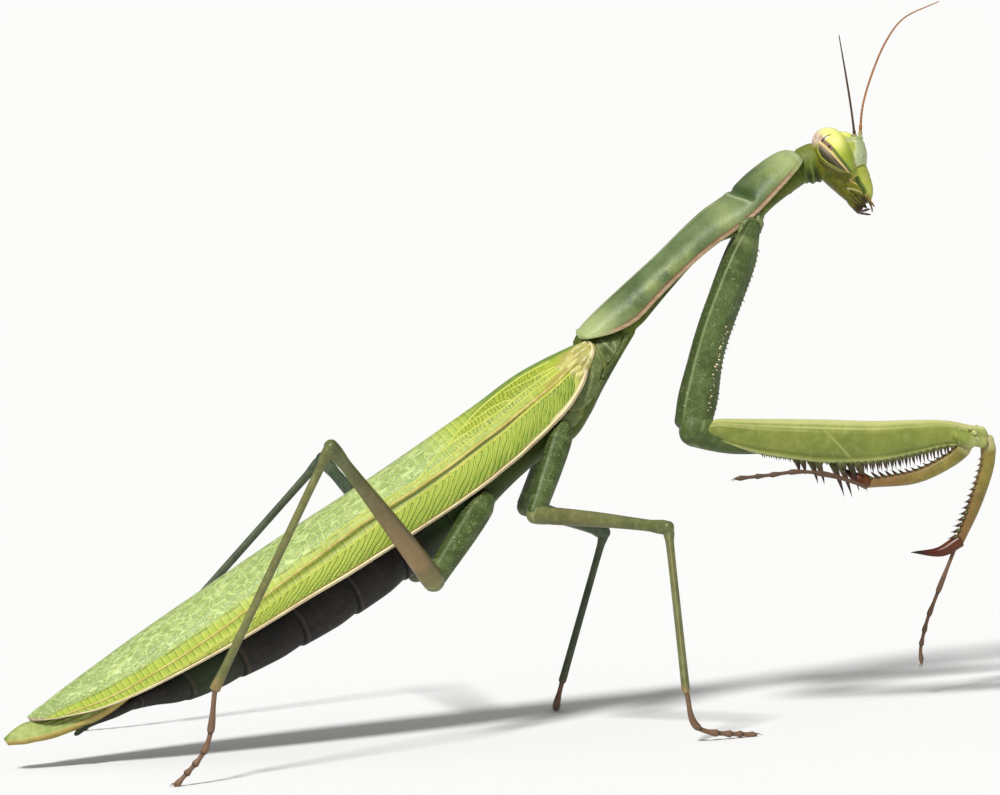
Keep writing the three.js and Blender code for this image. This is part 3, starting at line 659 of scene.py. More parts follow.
analReach = smooth((0, 4), (0.1, 20), (0.3, 30), (0.72, 30), (0.84, 8), (0.9, 3), (0.97, 0), (1, -8))
costalReach = smooth((0, 42), (0.006, 47), (0.02, 58), (0.04, 67), (0.07, 75), (0.11, 80), (0.15, 83), (0.19, 87),
                     (0.23, 90.5), (0.3, 91.5), (0.38, 89.5), (0.45, 87), (0.52, 86.5), (0.6, 88), (0.9, 90),
                     (0.94, 88), (0.965, 80), (0.983, 62), (0.994, 38), (1, 14))
wingDip = smooth((0, 1), (0.86, 1), (0.98, 0))


def tegmenSpot(side, back, around, deep=0.0):
    # degrees round from the crest; the left wing dips under the right one
    dip = wingSizes["step"] * wingDip(wingShare(back)) * fade(around, 34, 62) if side > 0 else 0
    return onWing(back, side * around, dip + deep)


# the long veins: mm behind the hinge, degrees round from the crest
longVeins = {
    "subcosta": smooth((1.6, 44), (4, 50.5), (6, 53), (8, 54.8), (10, 57), (12, 58.7), (14, 60), (16, 61), (20, 61.6),
                       (22, 61.4), (24, 62.4), (26, 64), (30, 67.6), (34, 73.6), (38, 79), (42, 83.5), (47, 87)),
    "radius": smooth((1.2, 36), (2.5, 42), (4, 46.5), (6, 48.8), (8, 49.6), (10, 50.6), (12, 51.9), (14, 53),
                     (16, 53.2), (18, 52.8), (20, 51.6), (22, 50.8), (24, 51.2), (26, 53), (30, 57.4), (34, 62.6),
                     (38, 68), (42, 72), (46, 75), (52.4, 80)),
    "media": smooth((1.4, 33), (4, 38.4), (6, 41), (8, 42), (10, 42), (12, 43), (14, 45), (16, 45.6), (18, 45),
                    (19.5, 43.2), (22, 42), (24, 42.6), (26, 44.6), (32, 50), (36, 54), (40, 57.5), (44, 60),
                    (48, 61), (52.8, 62)),
    "cubitus": smooth((2.4, 30), (4, 31.6), (5, 33), (7, 33.8), (8, 34.6), (9, 34.2), (10, 33.3), (12, 32.6),
                      (13.6, 32), (15, 35), (16.2, 41), (17, 44.8)),
    "claval": smooth((3, 12), (5, 10.6), (7, 9.8), (8.5, 9.8), (9.5, 11.5), (10.5, 15.5), (11.5, 20.5), (12.5, 25),
                     (13.6, 32)),
    "branch": smooth((7.2, 34), (7.6, 30), (8.2, 26.5), (9, 23.6), (10, 22.8), (12, 22.2)),
    "anal": smooth((2.4, 30), (3, 27), (4, 25.6), (5, 24.4), (6, 22), (7.4, 17)),
}


def edgeRound(back):
    return costalReach(wingShare(back))


def ribField(back, share):
    # degrees round, by share of the way from the subcosta to where the ribs end
    top = longVeins["subcosta"](back)
    return top + (edgeRound(back) - wingSizes["ribsEnd"] - top) * share


# costal ribs: they start on the subcosta and lean back on the way to the margin
ribStep = smooth((2, 0.36), (6, 0.46), (10, 0.62), (16, 0.72), (30, 0.7), (50, 0.55))
ribLean = smooth((2, 1.2), (8, 2.1), (16, 3.1), (30, 2.6), (44, 1.8), (51, 1.0))
ribStarts = [1.6]
while ribStarts[-1] < 52:
    ribStarts.append(ribStarts[-1] + float(ribStep(ribStarts[-1])) * (0.82 + 0.36 * rng.random()))


def ribWave(start, share):
    return (0.1 * np.sin(share * 7 + start * 3.1)
            + 0.035 * np.sin(share * 14 + start * 7.7)) * np.sin(share * math.pi)


def veinPaths():
    # each path is [mm behind the hinge, degrees round], thickness at its start and its end
    paths = []
    spans = {"subcosta": (1.6, 47, 0.08, 0.04), "radius": (1.2, 50.6, 0.15, 0.08), "media": (1.4, 26, 0.1, 0.06),
             "cubitus": (2.4, 17, 0.1, 0.07), "claval": (3, 13.6, 0.09, 0.08), "branch": (7.2, 12, 0.08, 0.06),
             "anal": (2.4, 7.4, 0.09, 0.05)}
    for word, (start, end, *thick) in spans.items():
        back = np.linspace(start, end, int((end - start) * 5) + 12)
        paths.append((back, longVeins[word](back), thick, word))
    back = np.linspace(2, 44, 200)
    paths.append((back, longVeins["subcosta"](back) - 1.5, (0.05, 0.02), "long"))
    # costal field: slanting, gently waved ribs, some of which fork
    for number, at in enumerate(ribStarts[1:]):
        if at > 47:
            break
        share = np.linspace(0, 1, 18)
        back = at + float(ribLean(at)) * share ** 1.25 + ribWave(at, share)
        paths.append((back, ribField(back, share), (0.042, 0.024), "rib"))
        if number % 3 == 0 and at > 8:
            half = share[9:]
            fork = back[9:] - 0.5 * float(ribStep(at)) * (half - half[0]) * 2.2
            paths.append((fork, ribField(fork, half), (0.035, 0.025), "rib"))
    # ladders of short cross veins in the strips between the long ones
    for upper, lower, start, end, step in (("media", "radius", 5, 40, 0.9), ("cubitus", "media", 4.5, 15.5, 0.34),
                                           ("branch", "cubitus", 8.4, 12.6, 0.3)):
        at = start
        while at < end:
            back = at + np.linspace(0, 0.1, 6) * (rng.random() - 0.2)
            top, foot = longVeins[upper](back), longVeins[lower](back)
            paths.append((back, top + (foot - top) * np.linspace(0, 1, 6), (0.03, 0.025), "rib"))
            at += step * (0.8 + 0.4 * rng.random())
    # long slanting veins of the clear hind field
    for start in np.arange(9.5, 42, 3.1):
        share = np.linspace(0, 1, 50)
        back = start + 15 * share * (1 - start / 90)
        around = 2 + (longVeins["media"](back) - 3) * share ** 0.85
        keep = back < 51
        paths.append((back[keep], around[keep], (0.032, 0.02), "rib"))
    return paths


def growTree(name, *sizes):
    # a node group that takes a mesh, some sizes and a finish
    global tree
    tree = bpy.data.node_groups.new(name, "GeometryNodeTree")
    for label, kind, value in (("Geometry", "Geometry", None), *sizes, ("Finish", "Material", None)):
        made = tree.interface.new_socket(label, in_out="INPUT", socket_type="NodeSocket" + kind)
        if value is not None:
            made.default_value = value
    tree.interface.new_socket("Geometry", in_out="OUTPUT", socket_type="NodeSocketGeometry")
    return tree.nodes.new("NodeGroupInput").outputs


def geo(kind, links=None, **settings):
    return node("GeometryNode" + kind, links, **settings).outputs[0]


def named(word, kind="FLOAT"):
    return geo("InputNamedAttribute", {"Name": word}, data_type=kind)


def endTree(shape, source):
    shape = geo("SetShadeSmooth", {"Geometry": geo("RealizeInstances", {"Geometry": shape})})
    shape = geo("SetMaterial", {"Geometry": shape, "Material": source["Finish"]})
    tree.links.new(shape, tree.nodes.new("NodeGroupOutput").inputs[0])
    return tree


def veinTree():
    # sweeps a round rib along every line, as thick as the line says
    source = growTree("veins", ("Fullness", "Float", 1.0), ("Sides", "Int", 5))
    radius = times(named("thick"), source["Fullness"])
    ring = geo("CurvePrimitiveCircle", {"Resolution": source["Sides"], "Radius": 1.0})
    sized = geo("SetCurveRadius", {"Curve": geo("MeshToCurve", {"Mesh": source["Geometry"]}), "Radius": radius})
    swept = node("GeometryNodeCurveToMesh", {"Curve": sized, "Profile Curve": ring, "Fill Caps": True})
    if "Scale" in swept.inputs:
        feed(swept, {"Scale": radius})
    return endTree(swept.outputs[0], source)


def grown(piece, group, **settings):
    # runs a node tree on the piece and keeps the mesh it makes
    made = piece.modifiers.new("nodes", "NODES")
    made.node_group = group
    names = {item.name: item.identifier for item in group.interface.items_tree
             if item.item_type == "SOCKET" and item.in_out == "INPUT"}
    for key, value in settings.items():
        made[names[key]] = value
    return plain(piece)


def lineObject(name, lines):
    # lines is a list of (points, thickness at each point)
    verts, edges, thick = [], [], []
    for points, width in lines:
        first = len(verts)
        verts += toScene(points).tolist()
        thick += (np.broadcast_to(width, (len(points),)) * mm).tolist()
        edges += [(i, i + 1) for i in range(first, len(verts) - 1)]
    mesh = bpy.data.meshes.new(name)
    mesh.from_pydata(verts, edges, [])
    mark(mesh, "thick", thick)
    return placed(name, mesh)


ribTree = veinTree()


def ribbing(name, lines, corners, finish, slot):
    ribs = grown(lineObject(name, lines), ribTree, Fullness=1.0, Sides=corners, Finish=finish)
    return finished(ribs, finish, slot)


rootFolds = [  # where they start and end (mm back, degrees round), how high, how wide, how tan
    ((2.5, 35), (0.2, 20), 0.12, 0.26, 0.2), ((2.3, 39.5), (0.2, 31), 0.15, 0.22, 0.0),
    ((2.0, 45), (0.2, 43), 0.12, 0.24, 0.0), ((1.7, 52), (0.2, 56), 0.1, 0.24, 0.0),
    ((4.4, 43), (2.3, 38.5), 0.1, 0.16, 0.9), ((2.6, 29), (0.9, 17), 0.12, 0.3, 0.75),
    ((1.5, 24), (0.3, 8), 0.1, 0.24, 0.3),
]
degree = 0.078  # mm across the wing for each degree round


def onSheet(line):
    return [(back, around * degree) for back, around in line]


def tegmen(side, word):
    t = column(0, 1, wingSizes["rows"])
    t = t * 0.6 + (np.sin((t - 0.5) * math.pi) / 2 + 0.5) * 0.4
    share = np.linspace(0, 1, wingSizes["columns"])[None, :]
    back = wingBack(t)
    start, end = -analReach(t), costalReach(t)
    around = start + (end - start) * share
    flatBack = np.broadcast_to(back, around.shape)
    top = longVeins["subcosta"](flatBack)
    down = np.clip((around - top) / np.maximum(end - wingSizes["ribsEnd"] - top, 1), 0, 1)
    rootBack = flatBack - ribLean(flatBack - 2) * down ** 1.25
    rootBack = rootBack - ribWave(rootBack, down)
    count = np.interp(rootBack, ribStarts, np.arange(len(ribStarts)))
    ribbed = ease(down, 0, 0.05) * fade(down, 0.94, 1) * fade(flatBack, 46, 50)
    channel = bump(around, (longVeins["radius"](flatBack) + top) / 2, 2.4) * fade(flatBack, 38, 48)
    lift = 0.022 * np.cos(2 * math.pi * count) * ribbed - 0.07 * channel
    folds, ochre = 0 * around, 0 * around
    for first, last, high, wide, tan in rootFolds:
        gap, _ = nearLine(flatBack, around * degree, onSheet([first, last]))
        ridge = np.exp(-(gap / wide) ** 4)
        lift = lift + high * np.clip(1 - (gap / wide / 1.25) ** 2, 0, 1)
        folds, ochre = np.maximum(folds, ridge * (1 - tan)), np.maximum(ochre, ridge * tan)
    outer, inner = tegmenSpot(side, back, around, -lift), tegmenSpot(side, back, around, wingSizes["sheet"])
    uv = np.stack([flatBack / 10, around * 0.075 / 10], -1)
    media, radius, subcosta = (longVeins[word](back) for word in ("media", "radius", "subcosta"))
    claval = longVeins["claval"](back)
    down = np.broadcast_to(down, around.shape)
    margin = (end - around) * degree  # mm in from the edge
    values = {
        "ribCount": count,
        "ribbed": ribbed,
        "fresh": np.clip(0.85 * fade(back, 3, 11) + 0.8 * ease(down, 0.2, 0.95)
                         * (1 - 0.5 * ease(back, 26, 44)), 0, 1)
        * ease(around, subcosta, subcosta + 2),
        "gold": fade(around, radius - 1, radius + 1)
        * np.maximum(fade(back, 13, 18) * ease(around, claval - 3, claval + 4),
                     ease(around, media - 1, media + 1) * (1 - 0.75 * ease(back, 24, 34))),
        "ladder": np.clip(fade(around, media - 1, media + 1) + 0.25, 0, 1) * ease(back, 3, 5),
        "anal": fade(around, claval - 3, claval + 2) * fade(back, 8, 13),
        "net": fade(around, media - 2, media) * ease(back, 11, 17),
        "stripe": ease(around, radius + 1, radius + 1.8) * fade(around, subcosta - 3, subcosta - 1.6)
        * (1 - 0.35 * ease(back, 17, 25) - 0.6 * ease(back, 28, 38)),
        "line": 0.95 * np.maximum(bump(around, radius + 3.0 + 0.5 * fade(back, 2, 9), 1.2 + 0.6 * fade(back, 4, 11))
                                  * fade(back, 20, 40), 0.7 * bump(around, media + 0.9, 0.5) * ease(back, 18, 24)),
        "root": fade(back, 1.7, 2.5) * ease(around, 4, 14),
        "fold": folds,
        "ochre": ochre,
        "cream": fade(margin, 0.24 + 0.14 * fade(back, 4, 9), 0.28 + 0.14 * fade(back, 4, 9)),
        "pink": fade(margin, 0.07, 0.1),
        "tick": bump(margin, 0.36, 0.1) * ease(back, 4, 8),
        "rust": np.maximum(0.85 * bump(margin, 0.1, 0.026) * ease(back, 3, 7),
                           0.8 * bump(margin, 0.285, 0.03) * ease(back, 3, 8)),
    }
    name = "tegmen_" + word + "_"
    finished(sheetPair(name + "sheet", outer, inner, uv, values), wingGreen, "wing", "tegmen_" + word)
    groups = {"veins": ([], veinYellow, 5), "radius": ([], radiusGold, 10)}
    for path, turnBy, thick, kind in veinPaths():
        width = np.linspace(*thick, len(path))
        lines = groups["radius" if kind == "radius" else "veins"][0]
        lines.append((tegmenSpot(side, path, turnBy, width * 0.3), width))
    for key, (lines, finish, corners) in groups.items():
        ribbing(name + key, lines, corners, finish, "wing")
    along = np.linspace(0.004, 0.995, 300)
    # the rim starts round the wing's front corner
    rimBack = np.concatenate([[-0.5, -0.6, -0.56, -0.4, -0.1], wingBack(along)])
    rimTurn = np.concatenate([[18, 26, 33, 38, 42], costalReach(along)])
    rimRise = np.concatenate([[0.2, 0.3, 0.34, 0.3, 0.16], 0 * along])
    rim = []
    for turnBy, deep, thick in ((2.2, 0.03, [0.13, 0.11, 0.07, 0.03]), (0.3, 0.1, [0.09, 0.08, 0.06, 0.03])):
        width = np.concatenate([np.linspace(0.05, thick[0], 5), np.interp(along, [0, 0.05, 0.85, 1], thick)])
        rim.append((tegmenSpot(side, rimBack, rimTurn - turnBy, deep - rimRise), width))
    ribbing(name + "margin", rim, 10, marginCream, "wing")


for word, side in sides:
    tegmen(side, word)

fanTop = smooth((4, -0.6), (10, -0.75), (20, -0.95), (30, -0.95), (40, -1.2), (47, -1.5), (50, -1.3), (52, -0.95),
                (53.2, -0.62), (54, -0.42), (55, -0.46), (55.8, -0.62))
fanHalf = smooth((4, 1.2), (10, 1.8), (24, 2.1), (38, 1.9), (46, 1.6), (52, 1.3), (55, 0.9), (55.8, 0.4))
fanDrop = smooth((4, 0.6), (24, 1.0), (44, 1.1), (48, 1.35), (51, 1.25), (53.2, 1.2), (54.4, 0.95), (55.2, 0.5),
                 (55.8, 0.1))


def hindwing(side, word):
    back = column(4, wingSizes["hindLength"], 220)
    share = np.linspace(0.1, 1, 26)[None, :]
    fold = 0.05 * np.sin(share * 40)

    def at(deep):
        return inPose(trunkPose, -back, side * fanHalf(back) * share,
                      fanTop(back) - fanDrop(back) * share ** 2 + fold - deep)
    uv = np.stack(np.broadcast_arrays(back / 10, share * fanHalf(back) / 10), -1)
    rim = np.broadcast_to(ease(share, 0.9, 1), (220, 26))
    piece = sheetPair("hindwing_" + word + "_fan", at(0), at(0.4), uv, {"deep": 0, "brown": rim * 0.6, "pale": 0})
    return finished(piece, underwingOlive, "underwing", "hindwing_" + word)


for word, side in sides:
    hindwing(side, word)
print("wings made")

# abdomen

abdomenSizes = {
    "start": 13.5,
    "ends": (17.5, 22.3, 27, 32, 37.4, 42, 46, 49.8),  # mm behind the wing hinge
    "tuck": 1.0,  # how far a ring runs in under the one before
    "arch": 0.8,
}
ringSpan = smooth((13, 2.7), (20, 3.15), (27, 3.25), (35, 3.0), (42, 2.3), (46, 1.6), (50, 0.95))
ringTop = smooth((13, -2.3), (30, -2.25), (40, -2.45), (46, -2.75), (50, -2.7))
ringFloor = smooth((13, -6.7), (20, -7.55), (26.5, -7.9), (33, -7.55), (38, -6.95), (42, -6.2), (44.5, -5.0),
                   (46.5, -4.3), (50, -3.9))


def abdomenRing(number, start, end, last):
    t = column(0, 1, 40)
    angle = turns(96)
    level, height = np.cos(angle), np.sin(angle)
    back = start + (end - start) * t
    size = 0.93 + 0.09 * ease(t, 0, 0.5)
    if last:
        size = size * (1 - 0.4 * ease(t, 0.5, 1))
    size = size - 0.03 * ease(t, 0.97, 1)
    arch = abdomenSizes["arch"] * np.abs(level)
    middle, tall = halfway(ringTop(back), ringFloor(back))
    seam = 0.06 * bump(level, 0.72, 0.05) * (height < 0)
    size = size - seam
    rings = inPose(trunkPose, -back + arch, ringSpan(back) * size * level, middle + tall * size * height)
    values = {"deep": ease(t, 0.97, 0.99), "brown": fade(back, 16, 21.5) + 0.4 * bump(back, 40, 2),
              "pale": 0.7 * bump(t, 0.955, 0.012)}
    piece = ringShell("abdomen_plate_" + str(number), rings, values, size=(2, 0.5))
    return finished(piece, paintedShadePlate, "abdomen", "abdomen_" + str(number))


for number, end in enumerate(abdomenSizes["ends"], 1):
    start = abdomenSizes["start"] if number == 1 else abdomenSizes["ends"][number - 2] - abdomenSizes["tuck"]
    abdomenRing(number, start, end, number == len(abdomenSizes["ends"]))

for word, side in sides:
    ends = [inPose(trunkPose, -48.6, side * 1.05, -3.0), inPose(trunkPose, -50.7, side * 1.35, -3.1)]
    beads = 9
    cercus = limb("cercus_" + word + "_beads", ends,
                  oval(lambda t: (0.33 - 0.1 * t) * (0.86 + 0.14 * np.abs(np.sin(t * math.pi * beads)))), 20, 80,
                  values={"deep": 0.3, "brown": 0.3, "pale": 0})
    finished(cercus, paintedShadePlate, "abdomen", "cercus_" + word)
print("abdomen made")

# pronotum

def shieldFinish():
    # grey-green, paler at both ends, with yellow-green clouds, veinlets and a pink and rust margin, painted shade by
    # the groove, the keel and the front lobe, and painted highlight by the groove, on the keel and at the front edge
    material, shader = finishTree("shieldGreen")
    cloud, mottle, fine = specks(260, 3), specks(1300, 4, 0.6), specks(5200, 3, 0.6)
    thread = times(between(cells(800, feature="DISTANCE_TO_EDGE"), 0.0, 0.03, 0.5, 0), between(mottle, 0.5, 0.62))
    grained = node("Mapping", {"Vector": onPiece(), "Rotation": (0, 0.64, 0), "Scale": (0.2, 1, 1.6)}).outputs[0]
    clouds = times(field("clouds"), between(specks(600, 3), 0.42, 0.66, 0, 0.75))
    tint = painted(
        mixed(between(cloud, 0.36, 0.64), (0.072, 0.112, 0.034), (0.15, 0.2, 0.078)),
        (between(mottle, 0.44, 0.3, 0, 0.5), (0.08, 0.13, 0.03)),
        ("ends", mottle, (0.28, 0.36, 0.12), (0.46, 0.52, 0.23)),
        (clouds, mottle, (0.2, 0.27, 0.05), (0.33, 0.38, 0.12)), (times(thread, field("clouds")), (0.5, 0.52, 0.15)),
        (between(fine, 0.58, 0.74, 0, 0.3), (0.36, 0.42, 0.2)), ("paintedShade", (0.035, 0.07, 0.012)),
        ("shine", (0.5, 0.58, 0.34)), ("pink", specks(2600, 2, 0.5, grained), (0.21, 0.13, 0.065), (0.66, 0.48, 0.3)),
        ("rust", (0.2, 0.07, 0.035)))
    coat(shader, tint, fine, (0.3, 0.75, 0.38, 0.56), 0.35, sums("ADD", fine, mottle), 0.4, 0.00005)
    return material


shieldGreen = shieldFinish()
shieldSizes = {
    "length": 23.05,
    "groove": 16.9,  # mm from the rear margin
    "hollow": 0.7,
    "band": 0.42,  # mm, the pink margin
    "rows": 300,
    "around": 220,
}
shieldHalf = smooth((-0.4, 0.9), (0.8, 1.6), (4, 2.1), (9, 2.15), (13, 2.5), (16.5, 3.05), (19.5, 2.75), (22, 2.1),
                    (23.3, 1.3))
shieldTop = smooth((-0.4, 0.3), (1.2, 0.75), (3, 0.95), (5, 1.05), (9, 1.2), (14, 1.5), (16.9, 1.2), (19.2, 1.4),
                   (22, 1.2), (23.3, 0.5))
shieldEdge = smooth((-0.4, 0.25), (0.5, 0.0), (1.2, -0.35), (2.4, -0.85), (4.3, -1.22), (6.5, -1.0), (9, -0.75),
                    (12, -0.55), (16.7, -0.6), (20, -0.4), (23.3, -0.2))


def pronotumShield():
    x = column(0.0, shieldSizes["length"], shieldSizes["rows"])
    angle = turns(shieldSizes["around"])
    level, height = np.cos(angle), np.sin(angle)
    tip = np.sqrt(np.clip(ease(x, -0.12, 0.5) * (1 - ease(x, 22.7, 23.2) * 0.4), 0, 1))  # drawn in at both ends
    side = np.abs(level)
    upper = height > 0
    above = np.maximum(height, 0) ** 0.85 * (shieldTop(x) - shieldEdge(x))
    below = np.maximum(-height, 0) * shieldSizes["hollow"]
    fromGroove = x - shieldSizes["groove"] - 0.8 * side ** 2
    across = ease(1 - side, 0.04, 0.2) * upper
    groove = (0.16 * bump(fromGroove, 0.16, 0.26) - 0.05 * bump(fromGroove, -0.22, 0.2)) * across
    keel = 0.11 * bump(level, 0, 0.045) * upper * ease(x, 1, 3) * fade(x, 15, 16.5)
    fromEdge = (1 - side) * shieldHalf(x) + above
    lip = 0.05 * bump(fromEdge, 0.12, 0.16) * upper - 0.05 * bump(fromEdge, shieldSizes["band"], 0.09) * upper
    rings = inPose(pronotumPose, x, shieldHalf(x) * level * tip,
                   shieldEdge(x) + (above + below) * tip - groove + keel + lip * tip)
    band = fade(fromEdge, shieldSizes["band"] * 0.8, shieldSizes["band"]) * ease(x, 1.2, 3.0) * fade(x, 21, 22.3)
    values = {
        "pink": np.where(upper, band, (height > -0.2) * fade(x, 21, 22.3)),
        "rust": bump(fromEdge, shieldSizes["band"] * 0.95, 0.075) * upper * ease(x, 1.5, 4)
        * (1 - 0.6 * ease(x, 21, 22.5)),
        "ends": np.clip(fade(x, 0.8, 4.5) + 0.85 * ease(x, 19.4, 22.2) + 0.45 * bump(x, 15.3, 1.2), 0, 1),
        "clouds": np.clip(bump(side, 0.86, 0.16) * (ease(x, 2, 5) * fade(x, 10, 13) + 0.8 * bump(x, 14.2, 1.8))
                          + bump(x, 19.6, 1.6) * bump(side, 0.6, 0.35), 0, 1),
        # painted shade ahead of the groove, beside the keel and over the front lobe
        "paintedShade": np.clip(0.8 * bump(fromGroove, 0.55, 0.5) * across
                         + 0.55 * bump(side, 0.075, 0.025) * upper * ease(x, 1, 3) * fade(x, 14.5, 16)
                         + 0.3 * ease(x, 17, 17.6) * fade(x, 18, 20.5), 0, 1),
        # painted highlight just behind the groove, along the keel and at the front edge
        "shine": np.clip(0.6 * bump(fromGroove, -0.16, 0.13) * across
                         + 0.35 * bump(level, 0, 0.03) * upper * ease(x, 1, 3) * fade(x, 15, 16.5)
                         + 0.45 * ease(x, 22.45, 22.8) * upper, 0, 1),
    }
    return finished(ringShell("pronotum_shield", rings, values, size=(1.2, 2.3)), shieldGreen, "shield", "pronotum")


pronotumShield()
print("pronotum made")

# body skin: prothorax, neck, thorax and the bases of the legs

bodySizes = {
    "voxel": 0.175,  # mm
    "smoothing": 4,
    "neckFolds": 6,
}
sideways = (0, 1, 0)
chestHalf = smooth((4.8, 1.3), (8, 1.1), (13, 1.2), (16, 1.7), (19, 1.8), (22.8, 1.2))
chestFloor = smooth((4.8, -2.25), (8.4, -1.6), (11, -1.2), (13.5, -1.15), (16, -2.0), (19, -1.8), (22.8, -2.2))
thoraxSpan = smooth((-4.4, 1.0), (-1, 1.5), (3, 2.1), (9, 2.7), (15, 2.8))
thoraxTop = smooth((-4.4, -0.4), (-2, 0.2), (-0.9, 0.55), (0.2, 0.35), (1.4, -0.3), (2.6, -1.0), (5, -1.7),
                   (9, -1.95), (15, -2.3))
thoraxFloor = smooth((-4.4, -0.95), (-2, -2.25), (0.8, -3.8), (2.3, -4.7), (4.4, -5.6), (8.2, -5.55), (11.3, -6.05),
                     (14, -6.8))


def prosternum():
    x = column(3.2, 22.7, 110)
    angle = turns(48)
    middle, tall = halfway(shieldEdge(x) + 0.35, chestFloor(x))
    rings = inPose(pronotumPose, x, chestHalf(x) * np.cos(angle), middle + tall * np.sin(angle))
    return ringShell("prosternum_part", rings)


def thorax():
    back = column(-4.2, 14.0, 110)
    angle = turns(60)
    middle, tall = halfway(thoraxTop(back), thoraxFloor(back))
    bulge = np.abs(np.sin(angle)) ** 0.8 * np.sign(np.sin(angle))
    rings = inPose(trunkPose, -back, thoraxSpan(back) * np.cos(angle), middle + tall * bulge)
    return ringShell("thorax_part", rings)


def scutum():
    # the low hump between the shield and the wings
    line = [inPose(trunkPose, x, 0, z) for x, z in ((1.7, 0.35), (0.6, 0.5), (-0.2, 0.34))]
    section = oval(smooth((0, 0.9), (0.5, 1.0), (1, 0.8)), smooth((0, 0.5), (0.5, 0.5), (1, 0.3)))
    return limb("scutum_part", line, section, 40, 20, (0.4, 0.4), sideways)


def neck():
    # the soft collar: swollen above, folded below, running in under the head
    line = [inPose(pronotumPose, 20.6, 0, -0.9), inPose(pronotumPose, 22.3, 0, -0.75), inPose(headPose, -1.3, 0, 0.0)]
    folds = bodySizes["neckFolds"]
    half = smooth((0, 1.15), (0.35, 1.28), (0.6, 1.48), (0.85, 1.6), (1, 1.3))
    wave = lambda t, a: np.sin(t * folds * 2 * math.pi + 1.2 * np.cos(a))
    under = lambda a: ease(-np.sin(a) + 0.35, 0, 0.9)

    def section(t, a):
        collar = 0.12 * bump(t, 0.42, 0.05) - 0.16 * bump(t, 0.5, 0.05)
        fold = wave(t, a) * under(a) * ease(t, 0.05, 0.2)
        r = half(t) * (1 + 0.045 * fold + collar * (1 - 0.6 * under(a)))
        return r * np.cos(a) * 0.92, r * np.sin(a)
    rib = lambda t, a: np.maximum(ease(wave(t, a), 0.7, 1) * under(a) * 0.4, 0.2 * ease(np.sin(a), -0.1, 0.6))
    # painted shade under the neck, deepest between its folds, and round the collar's groove
    dip = lambda t, a: ((0.5 + 0.45 * ease(-wave(t, a), 0.0, 0.9)) * ease(-np.sin(a) + 0.1, 0, 0.7)
                        + 0.3 * bump(t, 0.5, 0.04))
    return dressed(limb("neck_part", line, section, 64, 60, (0.4, 0.5), values=blank(deep=dip, pale=rib)), "trunk")


walkingLegs = {
    "mid_right": {
        "points": [(4.6, -3.2, 24.6), (1.5, -5.2, 18.3), (10.4, -14.0, 17.2), (11.3, -13.4, 4.2), (12.3, -13.0, 1.1),
                   (16.9, -12.0, 0.12)],
        "femur": (0.74, 0.48), "tibia": (0.36, 0.34), "coxa": 0.98},
    "mid_left": {
        "points": [(5.2, 3.2, 24.4), (2.6, 5.2, 18.0), (10.5, 13.5, 14.5), (6.3, 13.0, 2.6),
                   (5.7, 13.1, 0.6), (6.3, 16.2, 0.12)],
        "femur": (0.74, 0.48), "tibia": (0.36, 0.34), "coxa": 0.98},
    "hind_right": {
        "points": [(-2.0, -3.2, 19.4), (-7.0, -5.4, 13.6), (-16.5, -17.0, 25.6), (-26.5, -17.0, 7.4),
                   (-27.4, -17.0, 3.0), (-29.9, -17.0, 0.12)],
        "femur": (0.9, 0.5), "tibia": (0.4, 0.46), "coxa": 1.12},
    "hind_left": {
        "points": [(-1.4, 3.2, 19.2), (-6.6, 5.4, 13.3), (-11.5, 20.6, 21.5), (-26.5, 21.4, 6.4), (-29.6, 22.6, 2.2),
                   (-32.2, 23.6, 0.12)],
        "femur": (0.82, 0.5), "tibia": (0.4, 0.46), "coxa": 1.05},
}
forelegs = {
    "right": {
        "side": -1,
        "coxa": [(20.6, -3.3, 39.9), (16.5, -4.4, 31.3), (14.45, -5.0, 24.5)],
        "femur": [(15.6, -5.6, 24.9), (37.0, -6.6, 23.5)],
        "tibia": [(36.7, -6.5, 21.6), (35.2, -6.3, 20.4), (32.3, -6.0, 19.2), (28.5, -5.7, 18.9)],
        "claw": [(27.6, -5.5, 19.4), (26.5, -5.2, 20.2)],
        "tarsus": [(28.2, -6.1, 18.7), (25.3, -6.8, 19.8), (22.7, -7.1, 20.3), (20.2, -7.2, 20.2),
                   (17.6, -7.2, 20.1)]},
    "left": {
        "side": 1,
        "coxa": [(22.0, 3.3, 40.2), (18.5, 4.4, 30.9), (16.8, 5.0, 23.9)],
        "femur": [(18.0, 5.4, 23.8), (41.0, 6.4, 22.3)],
        "tibia": [(41.5, 6.4, 20.6), (41.2, 6.3, 18.4), (39.9, 6.1, 15.2), (38.6, 6.0, 12.6)],
        "claw": [(36.9, 6.0, 11.8), (34.5, 6.0, 11.9)],
        "tarsus": [(38.3, 6.1, 12.2), (36.4, 6.2, 8.0), (35.6, 6.3, 6.1), (35.0, 6.3, 4.0), (35.0, 6.3, 2.9)]},
}
foreCoxaHalf = smooth((0, 0.62), (0.05, 0.85), (0.1, 1.08), (0.16, 1.28), (0.24, 1.38), (0.4, 1.42), (0.7, 1.42),
                      (0.88, 1.62), (1, 1.5))


def away(a, degrees):
    return np.angle(np.exp(1j * (a - math.radians(degrees))))


def ridged(radius, edges, sharp=0.13, wide=0.34):
    # a rounded prism: flat between its edges, counted in degrees from the front
    def reach(t, a):
        r = radius(t) * (1 - sharp * 0.75)
        for edge in edges:
            r = r + radius(t) * sharp * bump(away(a, edge), 0, wide)
        return r * np.cos(a), r * np.sin(a)
    return reach


def edgeMark(edges, width):
    return lambda t, a: np.clip(sum(bump(away(a, edge), 0, width) for edge in edges), 0, 1)


def darkFacet(edges):
    # the darker side of a coxa, between its last two edges
    half = math.radians(abs(edges[2] - edges[1]) / 2)
    return lambda t, a: 0.55 * fade(np.abs(away(a, (edges[1] + edges[2]) / 2)), half - 0.12, half + 0.02)


def legSide(word):
    return -1 if "right" in word else 1


def coxaEdges(word):
    side = legSide(word)
    return [14 * side, 130 * side, 228 * side]


